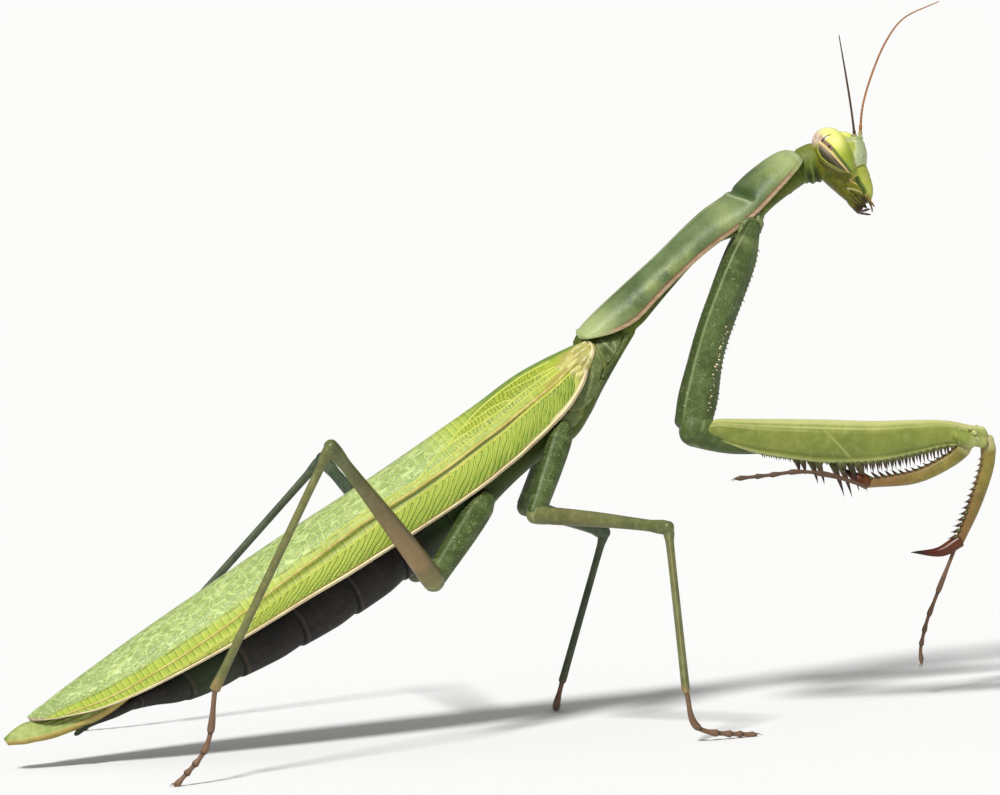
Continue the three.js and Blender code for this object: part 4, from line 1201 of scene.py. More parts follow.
def walkingCoxa(word, leg):
    hip, hock = leg["points"][:2]
    side = legSide(word)
    hip = (hip[0], hip[1] - side * 0.9, hip[2])
    half = smooth((0, leg["coxa"] * 0.75), (0.1, leg["coxa"] * 0.98), (0.4, leg["coxa"]), (0.85, leg["coxa"] * 0.85),
                  (1, leg["coxa"] * 0.8))
    edges = coxaEdges(word)
    ring = lambda t, a: 0.9 * bump(t, 0.87, 0.012) * (0.25 + 0.75 * ease(np.sin(a * 2 + 1), -0.2, 0.6))
    collar = lambda t, a: 0.6 * bump(t, 0.13, 0.012)
    pale = lambda t, a: np.maximum(np.maximum(0.15 * edgeMark([edges[1]], 0.07)(t, a), collar(t, a)), ring(t, a))
    return limb("coxa_part", [hip, hock], ridged(half, edges, 0.1, 0.34), 60, 36, (0.6, 0.5), sideways,
                blank(deep=darkFacet(edges), pale=pale, grit=1.0))


def foreCoxa(word, leg):
    edges = coxaEdges(word)
    line = edgeMark([edges[1]], 0.045)
    pale = lambda t, a: 0.5 * line(t, a) * ease(t, 0.04, 0.14) * fade(t, 0.9, 1) + 0.3 * bump(t, 0.09, 0.025)
    return limb("foreCoxa_part", leg["coxa"], ridged(foreCoxaHalf, edges, 0.13, 0.24), 84, 54, (0.5, 0.7), sideways,
                blank(deep=darkFacet(edges), pale=pale, grit=1.0))


def coxaJoint(leg):
    # the folded soft sleeve and two knobs where the foreleg hangs from the chest
    side, top = leg["side"], np.array(leg["coxa"][0])
    line = [top + np.array([x, side * -y, z]) for x, y, z in ((-0.35, 0.7, -1.0), (-0.1, 0.9, 0.2), (0.4, 1.3, 1.2))]
    fold = lambda t, a: np.sin(t * 15 + 2.2 * np.cos(a))
    half = smooth((0, 0.95), (0.35, 0.95), (0.7, 0.8), (1, 0.55))
    section = lambda t, a: (half(t) * (1 + 0.05 * fold(t, a)) * np.cos(a),
                            half(t) * (0.8 + 0.05 * fold(t, a)) * np.sin(a))
    # painted shade in the troughs of the folds
    values = blank(pale=lambda t, a: 0.25 * ease(fold(t, a), 0.3, 1),
                   deep=lambda t, a: 0.35 * ease(-fold(t, a), 0.2, 1))
    made = [limb("part", line, section, 36, 30, (0.3, 0.3), sideways, values)]
    thick = 0.26
    knob = oval(lambda t: thick * (0.8 + 0.25 * np.sin(t * math.pi)))
    values = blank(pale=lambda t, a: 0.2 + 0.3 * ease(np.sin(a * 2 + t * 5), 0.2, 1))
    for ends in (((0.6, 0.5, 0.6), (0.72, 0.3, 0.0)), ((-0.75, 0.4, 0.1), (-0.95, 0.2, -0.5))):
        spots = [top + np.array([x, side * -y, z]) for x, y, z in ends]
        made.append(limb("part", spots, knob, 16, 12, (thick * 0.8, thick * 0.8), values=values))
    return made


skinFinishes = {"trunk": bodyGreen, "coxa": coxaGreen, "leg": legGreen, "far": shadedLegGreen,
                "femur": forelegGreen, "tibia": tibiaOchre, "foot": tanShell}


def dressed(part, word):
    # gives every face of the part its own finish of the skin
    part.data.materials.clear()
    for finish in skinFinishes.values():
        part.data.materials.append(finish)
    part.data.polygons.foreach_set("material_index", [list(skinFinishes).index(word)] * len(part.data.polygons))
    return part


def blank(**given):
    values = {"deep": 0.0, "brown": 0.0, "pale": 0.0, "grit": 0.0}
    values.update(given)
    return values


trunk = united("trunk_part", [thorax(), prosternum(), scutum()])
trunk = dressed(remeshed(trunk, bodySizes["voxel"], bodySizes["smoothing"]), "trunk")
fromHinge = offPose(trunkPose, pointsOf(trunk.data))
behind, lifted = -fromHinge[:, 0], fromHinge[:, 2]
# painted shade: the thorax darkens under the wings, more so towards the back, and a little at the front
paintedShade = np.where(behind > -4.4, np.clip(0.4 * ease(behind, -3.5, -1) + 0.45 * ease(behind, 5.5, 7.5), 0, 1), 0.15)
# the soft yellow skin between the plates
seams = [[(-0.7, 0.2), (-0.68, -0.9), (-0.5, -1.7)], [(2.9, -3.45), (3.3, -3.3), (3.3, -3.9)]]
membrane = np.max([drawn(behind, lifted, line, 0.24) for line in seams], axis=0)
for key, data in blank(deep=paintedShade, pale=0.5 * membrane).items():
    mark(trunk.data, key, np.broadcast_to(data, behind.shape))
trunk = united("trunk_part", [trunk, neck()])


def walkingLeg(word, leg):
    hip, hock, knee, ankle, ball, toe = leg["points"]
    turn = tuple(h * 0.5 + k * 0.5 for h, k in zip(hock, knee))
    f, s = leg["femur"], leg["tibia"]
    hind = word == "hind_right"
    warm = 0.9 if hind else 0.12
    femurHalf = smooth((0, f[0] * 1.02), (0.05, f[0] * 1.03), (0.1, f[0] * 0.97), (0.14, f[0] * 0.97),
                       (0.4, f[0] * 0.86), (0.85, f[1]), (0.95, f[1] * 1.22), (1, f[1] * 1.15))
    keel = edgeMark([-60, 60], 0.12)
    tanned = lambda t: warm * (0.45 * ease(t, 0, 0.05) + 0.55 * ease(t, 0.1, 0.16)) * fade(t, 0.3, 0.95)
    # darker at a joint line near the base and towards the middle; the near hind femur also gets painted shade along
    # the side turned away from the light
    dark = lambda t, a: (0.35 * bump(t, 0.1, 0.006) + 0.2 * bump(t, 0.5, 0.25)
                         + (0.42 * edgeMark([152], 0.6)(t, a) if hind else 0))
    pale = lambda t, a: np.maximum(0.12 * keel(t, a), 0.3 * bump(t, 0.012, 0.012))
    femur = limb("part", [(hock[0], hock[1], hock[2] - 0.2), turn, knee],
                 ridged(femurHalf, [-120, -60, 60, 120], 0.04, 0.3), 28, 76, (0.8, 0.45),
                 values=blank(brown=lambda t, a: tanned(t), deep=dark, pale=pale, grit=0.25))
    tibiaHalf = smooth((0, s[0] * 1.1), (0.03, s[0] * 1.25), (0.09, s[0] * 0.92), (0.5, s[0] * 0.86),
                       (0.9, s[0] * 0.9), (1, s[1]))
    tibia = limb("part", [knee, ankle], ridged(tibiaHalf, [-135, -45, 45, 135], 0.08, 0.2), 24, 56, (0.25, 0.25),
                 values=blank(brown=lambda t, a: 0.1 + 0.5 * ease(t, 0.93, 1),
                              pale=lambda t, a: 0.3 * edgeMark([-45, 45], 0.12)(t, a)))
    foot = tarsus([ankle, ball, toe], (0, 0, 1), 0.3)
    for vertex in foot.data.vertices:
        vertex.co.z = max(vertex.co.z, 0)
    # the left legs, on the far side, take the darker copy of the green as painted shade
    shade = "leg" if "right" in word else "far"
    return united("leg_part", [dressed(walkingCoxa(word, leg), "coxa"), dressed(femur, shade), dressed(tibia, shade),
                               dressed(foot, "foot")])


def tarsus(points, up, thick, dark=0.0):
    # five joints, each a little wider at its far end
    ends = np.array([0, 0.42, 0.62, 0.76, 0.87, 1.0])

    def half(t):
        t = np.asarray(t, float)
        i = np.clip(np.searchsorted(ends, t, side="right") - 1, 0, 4)
        within = (t - ends[i]) / (ends[i + 1] - ends[i])
        return thick * (0.68 + 0.38 * ease(within, 0.35, 0.9) - 0.3 * ease(within, 0.93, 1)) * (1 - 0.12 * t)
    joint = lambda t, a: np.maximum(sum(bump(t, e, 0.012) for e in ends[1:5]) * 0.8, dark)
    return limb("part", points, oval(half), 16, 96, (0.2, 0.25), up, blank(brown=0.85, deep=joint))


def femurSpot(leg, t):
    a, b = np.array(leg["femur"][0]), np.array(leg["femur"][1])
    return a + (b - a) * np.asarray(t)[..., None]


foreFemurDepth = smooth((0, 1.35), (0.05, 1.85), (0.12, 2.4), (0.2, 2.85), (0.3, 3.2), (0.42, 3.5), (0.56, 3.5),
                        (0.66, 3.3), (0.78, 2.75), (0.9, 2.15), (1, 2.1))
foreFemurHalf = smooth((0, 0.82), (0.1, 0.92), (0.2, 0.94), (0.5, 0.95), (0.8, 0.75), (1, 0.6))
foreTibiaHalf = smooth((0, 0.5), (0.06, 0.68), (0.15, 0.66), (0.35, 0.64), (0.6, 0.6), (0.9, 0.46), (1, 0.42))


def foreFemur(leg):
    rows, around = 150, 64
    side = leg["side"]
    length = np.linalg.norm(np.subtract(*leg["femur"]))
    t, scale = roundedEnds(rows, (0.75, 0.5), length, 10)
    scale = scale[:, None]
    on = np.clip(t, 0, 1)[:, None]
    angle = turns(around)
    level, height = np.cos(angle), np.sin(angle)
    depth = foreFemurDepth(on) / 2
    place = femurSpot(leg, t)
    wide = foreFemurHalf(on) * np.sign(level) * np.abs(level) ** 0.85
    drop = (1 - height) / 2  # 0 along the top edge, 1 along the bottom
    outer = ease(level * side, 0.0, 0.1)
    lip = 0.09 * bump(drop, 0.94, 0.035) + 0.05 * bump(drop, 0.15, 0.03) * ease(on, 0.02, 0.1) * fade(on, 0.9, 0.98)
    groove = 0.07 * bump(drop, 0.87, 0.04)
    out = (wide + side * (lip - groove) * outer) * scale
    sag = (0.5 * ease(on, 0.86, 1) + 0.12 * bump(on, 0.62, 0.14) + 0.8 * fade(on, -0.05, 0.08) ** 2) * (1 - drop)
    down = depth * height * scale - depth - sag
    rings = place[:, None, :] + np.stack(np.broadcast_arrays(0 * out, out, down), -1)
    inside = fade(on, 0.93, 0.98)
    upperLine, lowerLine = 0.75 * bump(drop, 0.16 + 0.04 * (1 - on), 0.02), 0.8 * bump(drop, 0.95, 0.025)
    # the pale band along the top edge is painted highlight; the fine lines above and below are the femur's own
    lines = np.maximum(0.9 * bump(drop, 0.0, 0.07) + 0.22 * fade(drop, 0.1, 0.2),
                       np.maximum(upperLine * outer, lowerLine * outer) * inside)
    threads = 0.4 * outer * inside * (bump(drop, 0.08 + 0.02 * on, 0.012)
                                      + bump(drop, 0.235 + 0.03 * (1 - on), 0.012))
    slant = bump(on - 0.43 - 0.09 * (drop - 0.2) / 0.6, 0, 0.0035) * outer
    slant = slant * ease(drop, 0.2, 0.25) * fade(drop, 0.82, 0.88)
    knee = 0.35 * ease(on, 0.93, 1)
    # painted shade: a darker band below the top, a darker inner lower side, and a dark line by the lower groove
    shade = 0.26 * ease(drop, 0.18, 0.32) * (1 - 0.55 * ease(drop, 0.6, 0.9)) + 0.1 * bump(drop, 0.84, 0.05)
    shade = shade + 0.3 * (1 - outer) * ease(drop, 0.5, 1)
    pale = np.clip(lines + threads + 0.5 * slant + knee, 0, 1)
    return ringShell("part", rings, blank(pale=pale, deep=shade, grit=0.15))


kneeKnobs = [  # mm ahead of the knee, out, below its top, half thickness
    (-1.25, 0.55, 0.75, 0.17), (-0.95, 0.66, 1.15, 0.21), (-1.2, 0.62, 1.6, 0.18), (-0.35, 0.6, 0.55, 0.19),
    (-0.05, 0.62, 0.95, 0.22), (0.1, 0.6, 1.45, 0.2), (-0.45, 0.7, 1.5, 0.16),
]


def foreleg(word, leg):
    heel = femurSpot(leg, 0.0)
    ends = [heel + np.array(step) for step in ((-1.25, 0.1 * -leg["side"], -0.75), (1.6, 0, -1.75), (4.9, 0, -2.6))]
    half = smooth((0, 1.28), (0.25, 1.18), (0.6, 0.92), (1, 0.4))
    slim = smooth((0, 1), (0.08, 0.94), (0.28, 0.62), (1, 0.6))
    pale = lambda t, a: 0.6 * bump(t, 0.11, 0.02) * ease(np.sin(a * 3), 0, 1) + 0.16 * edgeMark([75], 0.5)(t, a)
    trochanter = limb("part", ends, oval(lambda t: half(t) * slim(t), half), 36, 30, (0.95, 0.9),
                      values=blank(deep=lambda t, a: 0.28 * ease(t, 0.2, 0.6), pale=pale))
    end = femurSpot(leg, 1.0)
    lobe = oval(smooth((0, 0.45), (0.6, 0.62), (1, 0.5)), smooth((0, 0.6), (0.6, 0.75), (1, 0.6)))
    lobes = [limb("part", [end + np.array([-1.5, sign * 0.42, -1.0]), end + np.array([-0.1, sign * 0.5, -1.75])],
                  lobe, 20, 14, (0.3, 0.35), sideways, blank(pale=lambda t, a: 0.45 * ease(t, 0.5, 0.95)))
             for sign in (-1, 1)]
    brown = lambda t, a: 0.12 + 0.7 * ease(t, 0.25, 0.95) + 0.35 * ease(-np.cos(a), 0.2, 0.9)
    light = lambda t, a: np.maximum(0.3 * edgeMark([-50, 50], 0.1)(t, a), 0.6 * fade(t, 0.04, 0.12))
    tibia = limb("part", leg["tibia"], ridged(foreTibiaHalf, [-50, 50, 130, 230], 0.1, 0.25), 32, 84,
                 (0.5, 0.3), sideways, blank(brown=brown, pale=light))
    knobs = []
    for ahead, out, low, size in kneeKnobs:
        spot = end + np.array([ahead, leg["side"] * out, -low])
        knobs.append(limb("part", [spot, spot + np.array([0.12, 0, -0.1])], oval(lambda t, r=size: r), 14, 6,
                          (size * 0.8, size * 0.8), values=blank(pale=lambda t, a: 0.75 + 0.25 * np.sin(a * 3))))
    parts = {"coxa": [foreCoxa(word, leg), trochanter] + coxaJoint(leg),
             "femur": [foreFemur(leg)] + lobes + knobs, "tibia": [tibia],
             # the right foreleg's foot, lying under its femur, is darkened all over: painted shade
             "foot": [tarsus(leg["tarsus"], sideways, 0.23, 0.45 if word == "right" else 0.1)]}
    return united("foreleg_part", [dressed(part, key) for key, group in parts.items() for part in group])


def flankSpot(side, back, up, lift):
    # a place on the flank of the thorax
    middle, tall = halfway(thoraxTop(back), thoraxFloor(back))
    bulge = np.clip(np.abs((up - middle) / tall), 0, 0.97) ** 1.25
    return inPose(trunkPose, -back, side * (thoraxSpan(back) * np.sqrt(1 - bulge ** 2) + lift), up)


flankPlates = {  # outlines: mm behind the wing hinge, mm up
    "side": [(-0.3, -0.2), (-0.5, -0.82), (-0.3, -1.52), (0.19, -2.0), (0.65, -2.45), (1.3, -2.98), (2.1, -3.3),
             (3.0, -3.2), (3.7, -2.95), (3.3, -2.3), (1.9, -1.2), (0.6, -0.3)],
    "rear": [(3.45, -3.25), (4.1, -3.0), (4.9, -3.2), (4.75, -3.75), (4.15, -4.2), (3.5, -3.95), (3.25, -3.6)],
    "low": [(0.3, -2.4), (0.1, -2.75), (0.45, -3.05), (0.95, -3.25), (1.5, -3.4), (1.25, -2.98), (0.75, -2.6)],
    "front": [(-1.1, 0.25), (-2.0, 0.15), (-2.9, -0.15), (-2.65, -0.75), (-1.8, -1.25), (-1.0, -1.5),
              (-0.8, -0.93), (-0.9, 0.0)],
    "strip": [(-3.6, -0.3), (-3.5, -0.72), (-2.4, -1.4), (-0.9, -2.1), (-0.1, -2.3), (-0.1, -2.05),
              (-1.1, -1.65), (-2.5, -1.0)],
}
flankRidges = [[(-1.45, 0.3), (-1.65, -0.45), (-1.75, -0.95)], [(-2.25, -0.3), (-2.17, -0.85), (-1.75, -1.2)],
               [(0.1, -0.6), (0.7, -1.6), (1.9, -2.7)]]


def spread(outline, count, shares, grow=1.0):
    # rings of an outline drawn in towards its middle
    corners = np.array(outline + outline[:1], float)
    edge = alongCurve(np.column_stack([corners, np.zeros(len(corners))]), np.linspace(0, 1, count)[:-1])[0][:, :2]
    middle = edge.mean(axis=0)
    spots = middle + (edge - middle)[None] * grow * shares[:, None, None]
    return spots[..., 0], spots[..., 1]


def flankPlate(side, outline, lift=0.16):
    shares = np.concatenate([np.linspace(0.08, 0.8, 6), [0.88, 0.94, 0.98, 1.0, 1.0, 0.6, 0.1]])
    lifts = np.concatenate([lift * (1 - shares[:6] ** 8),
                            [lift * 0.92, lift * 0.78, lift * 0.5, 0.0, -0.3, -0.35, -0.35]])
    back, up = spread(outline, 41, shares, 1.1)
    inner = (shares < 0.95)[:, None]
    ridge = np.max([drawn(back, up, line, 0.09) for line in flankRidges], axis=0) * inner
    # painted shade in two small hollows, which are also pressed into the plate
    hollow = speckle(back + 1.4, up + 0.75, 0.4) + speckle(back + 1.95, up + 0.5, 0.25)
    rings = flankSpot(side, back, up, lifts[:, None] + 0.05 * ridge - 0.12 * hollow * inner)
    rim = 0.2 * bump(shares, 0.93, 0.04)[:, None]
    return ringShell("plate", rings,
                     blank(deep=np.clip(0.6 * hollow * (1 - ridge), 0, 1), pale=np.maximum(rim, 0.35 * ridge)))


hingeFan = {
    "outline": [(-0.1, 4), (-0.6, 12), (-0.82, 24), (-0.66, 34), (-0.1, 43), (0.6, 51), (1.25, 54),
                (1.3, 42), (1.35, 31), (1.2, 18), (0.7, 6)],  # mm behind the hinge, degrees round
    "folds": [[(-0.55, 14), (0.1, 19), (1.2, 20)], [(-0.75, 24), (-0.1, 28), (1.2, 31)],
              [(-0.6, 33), (0.1, 39), (1.15, 43)], [(-0.3, 39), (0.45, 46), (1.2, 52)]],
    "height": 0.2,
}


def wingRoots(side, word):
    # the pale wrinkled skin where the wing swings
    shares = np.concatenate([np.linspace(0.04, 0.84, 22), [0.9, 0.95, 0.985, 1.0, 1.0]])
    back, across = spread(onSheet(hingeFan["outline"]), 81, shares)
    shares = shares[:, None]
    lift = hingeFan["height"] * np.clip(1 - shares ** 5, 0, 1)
    fold = np.max([drawn(back, across, onSheet(line), 0.15, 0.2) for line in hingeFan["folds"]], axis=0)
    knuckle = 0.5 + 0.5 * np.sin(back * 7.5 + across * 3)
    lift = lift + (0.13 * fold + 0.03 * knuckle * fold - 0.03) * (1 - shares ** 6)
    lift[-1] = -0.4
    rings = tegmenSpot(side, back, across / degree, -lift)
    # painted shade in the hollows between the folds
    values = blank(pale=np.clip(fold * (0.15 + 0.45 * knuckle), 0, 1),
                   deep=np.clip(0.22 * fade(fold, 0.05, 0.5) * (shares < 0.98), 0, 1),
                   brown=0.5 * ease(back, 0.3, 1.1) * (1 - fold))
    return finished(ringShell("wingroot_" + word + "_plates", rings, values), hingeCream, "wing")


def claw(word, leg):
    half = smooth((0, 0.56), (0.3, 0.5), (0.6, 0.31), (0.85, 0.14), (1, 0.03))
    hook = limb("foreleg_" + word + "_claw", [leg["tibia"][3]] + leg["claw"], oval(half), 24, 60,
                (0.2, 0.05), sideways, {"tip": lambda t, a: t ** 1.3})
    return finished(hook, clawRed, "horn")


skinParts = [trunk]
skinParts += [walkingLeg(word, leg) for word, leg in walkingLegs.items()]
skinParts += [foreleg(word, leg) for word, leg in forelegs.items()]
skin = joined("body_skin", skinParts)
fleshNodes = ["prosternum", "mesothorax", "metathorax", "neck"]
for limbName in ["leg_" + word for word in walkingLegs] + ["foreleg_" + word for word in forelegs]:
    fleshNodes += [limbName + "_" + part for part in ("coxa", "trochanter", "femur", "tibia", "tarsus")]
finished(skin, list(skinFinishes.values()), "green", *fleshNodes)
for word, leg in forelegs.items():
    claw(word, leg)
for word, side in sides:
    plates = joined("thorax_" + word + "_plates", [flankPlate(side, outline) for outline in flankPlates.values()])
    finished(plates, plateGreen, "green")
    wingRoots(side, word)


def spikeTree():
    # stands a slim cone on every point, aimed and sized by the point
    source = growTree("spikes", ("Sides", "Int", 7), ("Stoutness", "Float", 1.0))
    cone = geo("MeshCone", {"Vertices": source["Sides"], "Side Segments": 5, "Radius Top": 0.0, "Radius Bottom": 1.0,
                            "Depth": 1.0})
    height = node("SeparateXYZ", {"Vector": geo("InputPosition")}).outputs["Z"]
    bend = node("CombineXYZ", {"X": times(times(height, height), 0.9)}).outputs[0]
    bowed = geo("SetPosition", {"Geometry": cone, "Offset": bend})
    marked = geo("StoreNamedAttribute", {"Geometry": bowed, "Name": "tip", "Value": height},
                 data_type="FLOAT", domain="POINT")
    aimed = node("FunctionNodeAlignRotationToVector", {"Vector": named("aim", "FLOAT_VECTOR")}, axis="Z").outputs[0]
    wide = times(named("wide"), source["Stoutness"])
    size = node("CombineXYZ", {"X": wide, "Y": wide, "Z": named("tall")}).outputs[0]
    return endTree(geo("InstanceOnPoints", {"Points": source["Geometry"], "Instance": marked, "Rotation": aimed,
                                            "Scale": size}), source)


def spikes(name, spots, finish, slot):
    # spots is a list of (place, aim, length, radius) in millimetres
    places, aims, talls, wides = zip(*spots)
    mesh = bpy.data.meshes.new(name)
    mesh.from_pydata(toScene(places).tolist(), [], [])
    mark(mesh, "aim", [unit(aim) for aim in aims], "FLOAT_VECTOR")
    mark(mesh, "tall", np.array(talls) * mm)
    mark(mesh, "wide", np.array(wides) * mm)
    return finished(grown(placed(name, mesh), coneTree, Sides=7, Stoutness=1.0, Finish=finish), finish, slot)


coneTree = spikeTree()
spineSizes = {
    "outerSpines": 17,
    "teeth": 16,
    "tibiaSpines": 14,
    "discoidal": [(0.33, 1.2), (0.385, 1.9), (0.465, 3.0), (0.53, 2.5)],  # share along the femur, mm long
    "coxaTeeth": 34,
}


def outward(way, edge):
    # straight out from the coxa at one of its edges
    across = unit(np.cross(way, sideways))
    return across * math.cos(edge) + np.cross(across, way) * math.sin(edge)


def forelegSpines(word, leg):
    side = leg["side"]
    spots = []
    # a place just inside the lower edge of the femur
    below = lambda t, out, inside, ahead=0: (femurSpot(leg, t + ahead)
                                             + np.array([0, side * out, inside - float(foreFemurDepth(t))]))
    for i in range(spineSizes["outerSpines"]):
        t = 0.48 + 0.42 * i / (spineSizes["outerSpines"] - 1)
        tall = (0.62, 0.95)[i % 2] * (1.05 - 0.5 * (t - 0.5))
        spots.append((below(t, 0.4, 0.15), (0.12, side * 0.1, -1), tall + 0.2, 0.16))
        spots.append((below(t, -0.25, 0.2, 0.01), (-0.1, -side * 0.2, -1), tall * 0.8 + 0.25, 0.14))
    for i in range(spineSizes["teeth"]):
        t = 0.2 + 0.26 * i / (spineSizes["teeth"] - 1)
        spots.append((below(t, 0.3, 0.06), (0.25, side * 0.1, -1), 0.24 + 0.1 * (i % 3 == 0), 0.075))
    for t, tall in spineSizes["discoidal"]:
        spots.append((below(t, -0.2, 0.25), (0.42, -side * 0.12, -1), tall + 0.25, 0.38))
    along = np.linspace(0.16, 0.97, spineSizes["tibiaSpines"])
    place, ahead, _ = alongCurve(leg["tibia"], along)
    for i, (spot, way) in enumerate(zip(place, ahead)):
        inward = np.array([way[2], 0, -way[0]])
        tall = 0.45 + 0.35 * along[i]
        for out in (-0.3, 0.3):
            spots.append((spot + inward * 0.36 + np.array([0, out, 0]),
                          inward + way * 1.3 + np.array([0, out * 0.5, 0]), tall, 0.15))
    edges = [math.radians(e) for e in coxaEdges(word)]
    along = np.linspace(0.1, 0.93, spineSizes["coxaTeeth"])
    place, ahead, _ = alongCurve(leg["coxa"], along)
    for i, (spot, way) in enumerate(zip(place, ahead)):
        for edge in (edges[0], edges[2]):
            out = outward(way, edge)
            size = 0.13 + 0.09 * rng.random()
            spots.append((spot + out * (float(foreCoxaHalf(along[i])) * 1.01), out + way * 0.4,
                          size + 0.1 * (i % 5 == 0), 0.06))
    spikes("foreleg_" + word + "_spines", spots, spineDark, "horn")
    grains = []
    along = np.array([0.5 + 0.44 * (i + 0.9 * rng.random()) / 26 for i in range(26)])
    place, ahead, _ = alongCurve(leg["coxa"], along)
    for t, spot, way in zip(along, place, ahead):
        out = outward(way, math.radians(50 * side) + 0.34 * (rng.random() - 0.5))
        size = 0.03 + 0.06 * rng.random() ** 2
        grains.append((spot + out * float(foreCoxaHalf(t)) * 0.9, out, 0.1 + size, size))
    spikes("foreleg_" + word + "_grains", grains, marginCream, "horn")


for word, leg in forelegs.items():
    forelegSpines(word, leg)


def footClaws(tip, ahead, down):
    # the pair of small hooks at the end of a foot
    ahead, down = unit(ahead), unit(down)
    s = column(0, 1, 12)
    return [(np.asarray(tip) + ahead * 0.55 * s + np.cross(ahead, down) * sign * (0.12 + 0.28 * s)
             + down * (0.3 * s ** 2 - 0.12 * s), 0.07 * (1 - s[:, 0] * 0.85)) for sign in (-1, 1)]


clawLines = []
for word, leg in walkingLegs.items():
    ball, toe = np.array(leg["points"][4]), np.array(leg["points"][5])
    clawLines += footClaws(toe + np.array([0, 0, 0.12]), (toe - ball) * (1, 1, 0), (0, 0, -1))
for word, leg in forelegs.items():
    tip, before = np.array(leg["tarsus"][-1]), np.array(leg["tarsus"][-2])
    clawLines += footClaws(tip, tip - before, (0, 0, -1) if word == "right" else (-1, 0, 0))
ribbing("foot_claws", clawLines, 7, tanShell, "horn")
print("body skin made,", len(skin.data.polygons), "faces")

# head

def eyeFinish():
    # yellow-green globe, darker below, with a painted highlight over its top and front, a beige cap, a cream stripe,
    # an umber lens band and a black slit
    material, shader = finishTree("eyeGreen")
    cloud, fine = specks(700, 3), specks(5200, 3)
    lens = painted(mixed(cloud, (0.02, 0.022, 0.006), (0.06, 0.06, 0.012)),
                   ("sheen", cloud, (0.2, 0.13, 0.08), (0.4, 0.3, 0.2)))
    tint = painted(
        mixed(cloud, (0.62, 0.68, 0.075), (0.84, 0.83, 0.13)),
        ("low", cloud, (0.25, 0.34, 0.02), (0.36, 0.43, 0.035)),
        ("paintedHighlight", (0.9, 0.88, 0.34)), ("olive", cloud, (0.1, 0.095, 0.006), (0.3, 0.29, 0.025)),
        ("shade", (0.05, 0.075, 0.014)), ("umber", lens), ("rim", (0.34, 0.32, 0.07)),
        ("cap", between(specks(1900, 3), 0.35, 0.65), (0.36, 0.22, 0.15), (0.8, 0.66, 0.52)),
        ("plum", fine, (0.13, 0.07, 0.05), (0.3, 0.2, 0.14)), ("cream", cloud, (0.6, 0.4, 0.13), (0.86, 0.68, 0.36)),
        ("slit", (0.012, 0.01, 0.012)))
    coat(shader, tint, fine, (0.3, 0.75, 0.2, 0.32), 0.4,
         sums("ADD", cells(24000, uneven=0.2), fine), 0.12, 0.00003, 0.12)
    return material


eyeGreen = eyeFinish()
eyeMarks = {  # on the outer side of the globe: share of its half length forward, share of its half height up
    "slit": [(-0.08, 0.5), (0.08, 0.545), (0.25, 0.565), (0.42, 0.555), (0.58, 0.52)],
    "stripe": [(-0.2, 0.5), (-0.13, 0.36), (-0.06, 0.17), (0.02, -0.1), (0.03, -0.42), (-0.01, -0.74), (-0.1, -0.95)],
    "rim": [(-0.12, 0.53), (-0.42, 0.48), (-0.64, 0.27), (-0.72, 0.03), (-0.6, -0.33), (-0.36, -0.7), (-0.16, -0.95)],
    "shade": [(0.17, 0.12), (0.22, -0.08), (0.2, -0.4), (0.14, -0.72), (0.0, -0.96)],
    "patch": [(0.02, 0.43), (0.1, 0.3), (0.13, 0.17), (0.13, 0.08)],
    "dot": (0.12, 0.15),
}


